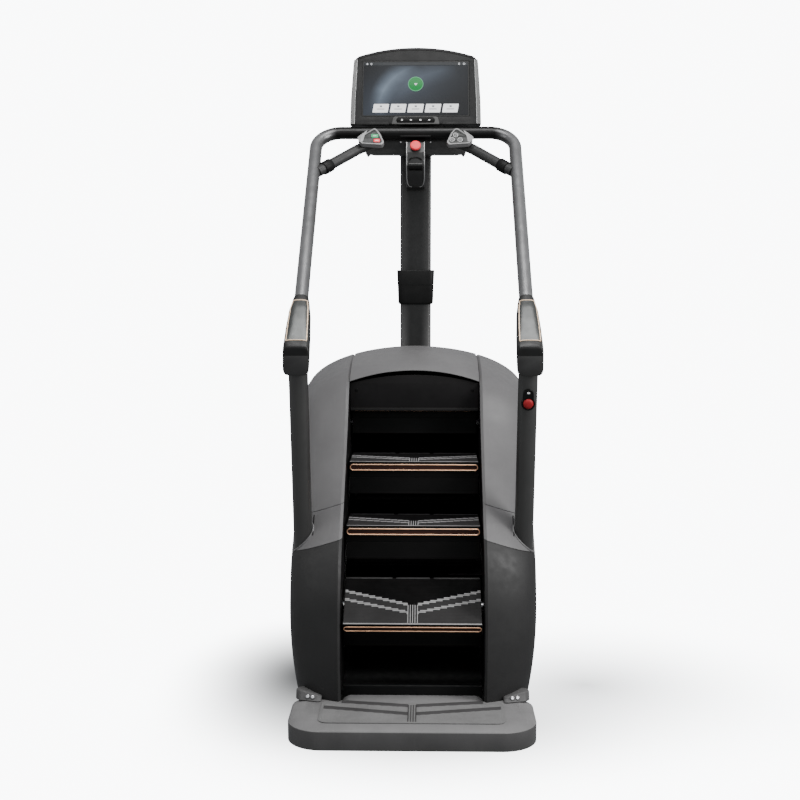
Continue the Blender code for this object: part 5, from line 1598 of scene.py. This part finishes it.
def pod_body(side, word, holes):
    """A keypad pod's pale body, its dark face film and the wing beside the keys."""
    outline = [(-0.014, 0.046), (-0.034, 0.018), (-0.050, -0.022), (-0.043, -0.036),
               (0.036, -0.030), (0.052, -0.008)]
    rim = round_outline(sided(outline, side), 0.013, 8)
    body = joined([plate([rim], 0.0165, 0.003, pod_frame(side, 0.0152)),
                   plate([rim] + holes, 0.0070, 0.0022, pod_frame(side, 0.0038))])
    piece(word + "_pod_body", body, "pod", replaces=[word + "_keypad_pod"])
    centre = Vector((sum(u for u, _ in rim), sum(v for _, v in rim))) / len(rim)
    film = []
    for u, v in rim:
        way = Vector((u, v)) - centre
        film.append(tuple(centre + way * max(0.0, 1 - 0.0075 / way.length)))
    piece(word + "_pod_film", plate([film] + holes, 0.0008, 0.0002, pod_frame(side, 0.0001)),
          "pod_face")
    wing = [(0.010, 0.036), (0.050, 0.000), (0.0515, -0.010), (0.040, -0.026),
            (0.0300, -0.022), (0.024, 0.006)]
    wing = round_outline(sided(wing, side), 0.005, 4)
    piece(word + "_pod_wing", plate([wing], 0.0010, 0.0003, pod_frame(side, -0.0004)), "pod")


def key_outline(spot, half, radius, grow=0.0):
    """A left key's outline about its middle, from its half width and height."""
    reach = Vector(half) + Vector((grow, grow))
    return rectangle(*(Vector(spot) - reach), *(Vector(spot) + reach), radius)


def left_pod():
    """The pod with the start and stop keys, each with a printed bar."""
    pod_body(-1, "left", [key_outline(spot, half, 0.004, 0.0007)
                          for _, spot, half, _, _ in LEFT_KEYS])
    for name, spot, half, look, slot in LEFT_KEYS:
        cap = plate([key_outline(spot, half, 0.0045, -0.0002)], 0.0058, 0.0012,
                    pod_frame(-1, 0.0015))
        piece(name + "_cap", cap, look, name, [name])
        mark = plate([key_outline(spot, (0.0060, 0.0012), 0.0008)], 0.0003, 0.0001,
                     pod_frame(-1, -0.0014))
        piece(name + "_mark", mark, "white", name)


def right_pod():
    """The pod with the three round keys, each in a pale ring."""
    pod_body(1, "right", [circle(*spot, 0.0080, 28) for _, spot in RIGHT_KEYS])
    cap = [(0.0066, -0.0055), (0.0070, -0.0045), (0.0070, 0.0005), (0.0062, 0.0013),
           (0.0040, 0.0015), (0.0015, 0.0015)]
    place = pod_frame(1)
    way = place.to_3x3() @ Vector((0, 0, 1))
    for name, spot in RIGHT_KEYS:
        ring = plate([circle(*spot, radius, 32) for radius in (0.0092, 0.0080)], 0.0010,
                     0.0003, pod_frame(1, -0.0005))
        piece(name + "_ring", ring, "white")
        piece(name + "_cap", turned(cap, facing(place @ Vector((*spot, 0)), way), 30), "key",
              name, [name])


# ------------------------------------------------------- inside the stairwell
def apron():
    """The panel across the top of the stairwell, with its rolled lower lip."""
    low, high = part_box("inner_apron")
    fall = 0.0316
    crest = high.z
    half = [(0.2340, low.z + 0.0120), (0.2340, crest - fall)]
    for index in range(12):
        x = 0.2300 * (1 - index / 11)
        half.append((x, crest - fall * drop(x) / drop(OPENING_HALF)))
    face = plate([mirrored(half)], high.y - low.y, 0.0006, across_y((low.y + high.y) / 2))
    piece("apron_face", face, "apron", replaces=["inner_apron"])
    roll = [(low.y + 0.0002, low.z + 0.0125), (low.y - 0.0010, low.z + 0.0060),
            (low.y - 0.0004, low.z + 0.0020), (low.y + 0.0016, low.z + 0.0004),
            (high.y, low.z + 0.0010), (high.y, low.z + 0.0125)]
    lip = plate([roll], 2 * 0.2330, 0.0003, ACROSS_X)
    piece("apron_lip", lip, "apron_lip")
    heads = [screw_head(Vector((side * 0.2110, low.y, crest - 0.0560)), (0, -1, 0), 0.0055,
                        0.0022) for side in (-1, 1)]
    piece("apron_screws", joined(heads), "gloss")


def skirts():
    """The sheets beside the steps, cut clear of the lower turn."""
    outer = [(p.x + 0.0065, p.y - 0.006)
             for p in smooth_line([Vector(p) for p in RIM[1:9]], 4)]
    outer[0] = (-0.4585, 0.1015)
    centre = LOWER_SHAFT.yz
    clear = CHAIN_RADIUS + 0.0145
    inner = []
    for index in range(29):
        angle = math.radians(250 - index * 4)
        inner.append(tuple(centre + Vector((math.cos(angle), math.sin(angle))) * clear))
    straight = UPPER_SHAFT.yz + OUTWARD.yz * clear
    end = straight - UP_SLOPE.yz * ((straight.x - 0.1740) / UP_SLOPE.y)
    outline = outer + [(0.1290, 1.0780), tuple(end)] + inner[::-1] + [(-0.2500, 0.1015)]
    for _, word in SIDES:
        low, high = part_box(word + "_inner_skirt")
        skin = plate([outline], high.x - low.x - 0.0004, 0.0005, across_x((low.x + high.x) / 2))
        piece(word + "_skirt_liner", skin, "black",
              replaces=[word + "_inner_skirt"])


def liners():
    """Black sheets beside the chains and behind the steps, clear of what moves."""
    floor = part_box("base_frame")[1].z + 0.004
    for side, word in SIDES:
        low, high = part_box(word + "_side_plate")
        x = (low.x - 0.0022) if side > 0 else (high.x + 0.0022)
        outline = [(low.y + 0.012, floor), (low.y + 0.012, 0.392), (-0.2960, 0.492),
                   (0.2740, 1.052), (0.402, 1.096), (0.590, 1.096), (high.y - 0.006, 1.036),
                   (high.y - 0.006, floor)]
        holes = [circle(shaft.y, shaft.z, 0.024) for shaft in (LOWER_SHAFT, UPPER_SHAFT)]
        if side > 0:
            holes.append(circle(0.450, 0.350, 0.074, 32))
        piece(word + "_side_liner", plate([outline] + holes, 0.0012, 0.0002, across_x(x)),
              "black")
    back = plate([rectangle(-0.2800, 0.0800, 0.2800, 1.0900, 0.020)], 0.0016, 0.0003,
                 across_y(COWL_REAR + 0.010))
    piece("rear_liner", back, "black")


# -------------------------------------------------------------- small fittings
def power_inlet():
    """The mains socket low on the rear cover."""
    low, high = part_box("power_inlet")
    body = block(low, (high.x, high.y - 0.0035, high.z), 0.0015)
    recess = [rectangle(low.x + 0.0002, low.z + 0.0002, high.x - 0.0002, high.z - 0.0002, 0.003),
              rectangle(low.x + 0.012, low.z + 0.010, high.x - 0.012, high.z - 0.010, 0.004)]
    rim = plate(recess, 0.0040, 0.0006, across_y(high.y - 0.0022))
    middle = (low + high) / 2
    pins = [block((middle.x + dx - 0.0015, high.y - 0.0055, middle.z + dz - 0.0030),
                  (middle.x + dx + 0.0015, high.y - 0.0012, middle.z + dz + 0.0030), 0.0006)
            for dx, dz in ((-0.0075, -0.001), (0.0, 0.003), (0.0075, -0.001))]
    piece("inlet_body", joined([body, rim]), "black",
          replaces=["power_inlet"])
    piece("inlet_pins", joined(pins), "chrome")


def levelling_feet():
    """Rubber pads on threaded stems."""
    pad = [(0.0235, 0.0), (0.0248, 0.0012), (0.0248, 0.0055), (0.0180, 0.0098),
           (0.0100, 0.0099)]
    stem = [(0.0100, 0.0100), (0.0100, 0.0138), (0.0056, 0.0140)]
    for index in range(11):
        z = 0.0150 + index * 0.0021
        stem += [(0.0050, z), (0.0057, z + 0.0010)]
    stem.append((0.0050, 0.0378))
    for corner in ("front_left", "front_right", "rear_left", "rear_right"):
        name = corner + "_levelling_foot"
        low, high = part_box(name)
        place = facing(Vector(((low.x + high.x) / 2, (low.y + high.y) / 2, low.z)), (0, 0, 1))
        piece(name + "_pad", turned(pad, place, 36), "rubber", name, [name])
        piece(name + "_stem", turned(stem, place, 24), "steel", name)


def transport_wheels():
    """The tyres and hubs of the two wheels."""
    tyre = [(0.0120, 0.0), (0.0150, 0.0002), (0.0225, 0.0010), (0.0245, 0.0030),
            (0.0249, 0.0060), (0.0249, 0.0150), (0.0245, 0.0185), (0.0225, 0.0206),
            (0.0150, 0.0214), (0.0120, 0.0216)]
    hub = [(0.0052, 0.0), (0.0110, 0.0002), (0.0112, 0.0004), (0.0056, 0.0220),
           (0.0056, 0.0435)]
    for side, word in SIDES:
        name = word + "_transport_wheel"
        low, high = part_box(name)
        middle = (low + high) / 2
        for part, profile, x, steps, look, slot in (
                ("_wheel_tyre", tyre, 0.2402, 48, "rubber", "foot_rubber"),
                ("_wheel_hub", hub, 0.2401, 30, "steel", "steel")):
            place = facing(Vector((side * x, middle.y, middle.z)), (side, 0, 0))
            piece(word + part, turned(profile, place, steps), look, word + "_wheel",
                  [name] if part == "_wheel_tyre" else ())


def rear_screws():
    """Three screws down each edge of the rear cover."""
    heads = [screw_head(Vector((x, cover_skin(x, z, rear=True), z)), (0, 1, 0), 0.0055, 0.0020)
             for x in (-0.218, 0.218) for z in (0.140, 0.520, 0.900)]
    piece("rear_cover_screws", joined(heads), "steel")


# --------------------------------------------------------------------- stage
def stage_finish(name, base):
    """A material that glows in the backdrop's tint, and its shader."""
    mat = bpy.data.materials.new(name)
    mat.use_nodes = True
    shader = mat.node_tree.nodes["Principled BSDF"]
    shader.inputs["Base Color"].default_value = (base, base, base, 1)
    shader.inputs["Specular IOR Level"].default_value = 0
    shader.inputs["Emission Color"].default_value = BACKDROP_TINT
    shader.inputs["Emission Strength"].default_value = BACKDROP_GLOW
    return mat, shader


def floor_finish():
    """A pale glowing floor with painted shadows: darker in soft pools beside and before the
    machine.
    """
    mat, shader = stage_finish("studio_floor_with_painted_shadows", 0.01)
    tree = mat.node_tree
    coords = tree.nodes.new("ShaderNodeTexCoord").outputs["Object"]
    stops = 0.0
    for (x, y), (reach_x, reach_y), depth in SHADOWS:
        mapping = tree.nodes.new("ShaderNodeMapping")
        mapping.vector_type = "TEXTURE"
        mapping.inputs["Location"].default_value = (x, y, 0)
        mapping.inputs["Scale"].default_value = (reach_x, reach_y, 1)
        tree.links.new(coords, mapping.inputs["Vector"])
        pool = tree.nodes.new("ShaderNodeTexGradient")
        pool.gradient_type = "QUADRATIC_SPHERE"
        tree.links.new(mapping.outputs["Vector"], pool.inputs["Vector"])
        stops = calc(tree, "ADD", stops, calc(tree, "MULTIPLY", pool.outputs["Fac"], -depth))
    glowing = calc(tree, "MULTIPLY", calc(tree, "POWER", 2.0, stops), BACKDROP_GLOW)
    tree.links.new(glowing, shader.inputs["Emission Strength"])
    return mat


def stage_object(name, bm, mat):
    """A body of the studio from a bmesh, with its material."""
    mesh = bpy.data.meshes.new(name)
    bm.to_mesh(mesh)
    bm.free()
    mesh.materials.append(mat)
    return scratch(name, mesh)


def stage():
    """A pale seamless floor and backdrop under an even sky."""
    bm = bmesh.new()
    bmesh.ops.create_circle(bm, cap_ends=True, segments=64, radius=40)
    floor = stage_object("studio_floor_with_painted_shadows", bm, floor_finish())
    floor.visible_diffuse = False
    floor.visible_glossy = False
    bm = bmesh.new()
    bmesh.ops.create_uvsphere(bm, u_segments=48, v_segments=24, radius=39)
    bmesh.ops.reverse_faces(bm, faces=bm.faces)
    wall = stage_object("studio_backdrop", bm, stage_finish("studio_backdrop", 0)[0])
    for flag in ("visible_diffuse", "visible_glossy", "visible_shadow",
                 "visible_transmission", "visible_volume_scatter"):
        setattr(wall, flag, False)
    world = bpy.data.worlds.new("studio")
    bpy.context.scene.world = world
    world.use_nodes = True
    sky = world.node_tree.nodes["Background"]
    sky.inputs["Color"].default_value = (0.95, 0.97, 1.0, 1)
    sky.inputs["Strength"].default_value = WORLD_LIGHT


def lights_and_camera():
    """Four soft boxes and the photo's camera."""
    boxes = (("overhead_box", (0.2, -1.4, 4.6), (0, 0, 1.0), 2.6, 1.8, 205),
             ("left_box", (-3.4, -1.6, 2.6), (0, 0, 1.1), 1.2, 2.6, 34),
             ("right_box", (3.4, -1.8, 2.8), (0, 0, 1.1), 1.4, 2.8, 205),
             ("front_box", (0.6, -5.6, 3.4), (0, 0, 0.9), 2.4, 1.6, 35))
    for name, spot, target, wide, tall, power in boxes:
        data = bpy.data.lights.new(name, "AREA")
        data.shape = "RECTANGLE"
        data.size = wide
        data.size_y = tall
        data.energy = power
        lamp = scratch(name, data)
        lamp.location = spot
        lamp.rotation_mode = "QUATERNION"
        lamp.rotation_quaternion = (Vector(target) - Vector(spot)).to_track_quat("-Z", "Y")
    lens = bpy.data.cameras.new("camera")
    lens.lens = CAMERA_LENS
    lens.sensor_width = 36
    camera = scratch("camera", lens)
    camera.location = CAMERA_SPOT
    camera.rotation_euler = (math.pi / 2 + CAMERA_PITCH, 0, CAMERA_YAW)
    bpy.context.scene.camera = camera


# ----------------------------------------------- CAD nodes shown as they are
CAD_LOOKS = {
    "paint": ["base_frame", "left_side_plate", "right_side_plate", "alternator"],
    "chain": ["left_chain", "right_chain"],
    "steel": ["drive_shaft", "lower_shaft", "alternator_pulley"],
    "belt": ["drive_belt"],
}


def dress_cad():
    """Materials for the CAD nodes that the visual model keeps."""
    for look, names in CAD_LOOKS.items():
        for name in names:
            mesh = NODES[name].data
            mesh.materials.clear()
            mesh.materials.append(FINISH[look])


# ------------------------------------------------------------------ assembly
stage()
lights_and_camera()
dress_cad()
covers()
under_pan()
steps()
platform()
posts()
post_stop()
handrail()
grips()
inner_bars()
mast()
console()
tray()
stop_pod()
tray_screws()
left_pod()
right_pod()
apron()
skirts()
liners()
power_inlet()
levelling_feet()
transport_wheels()
rear_screws()
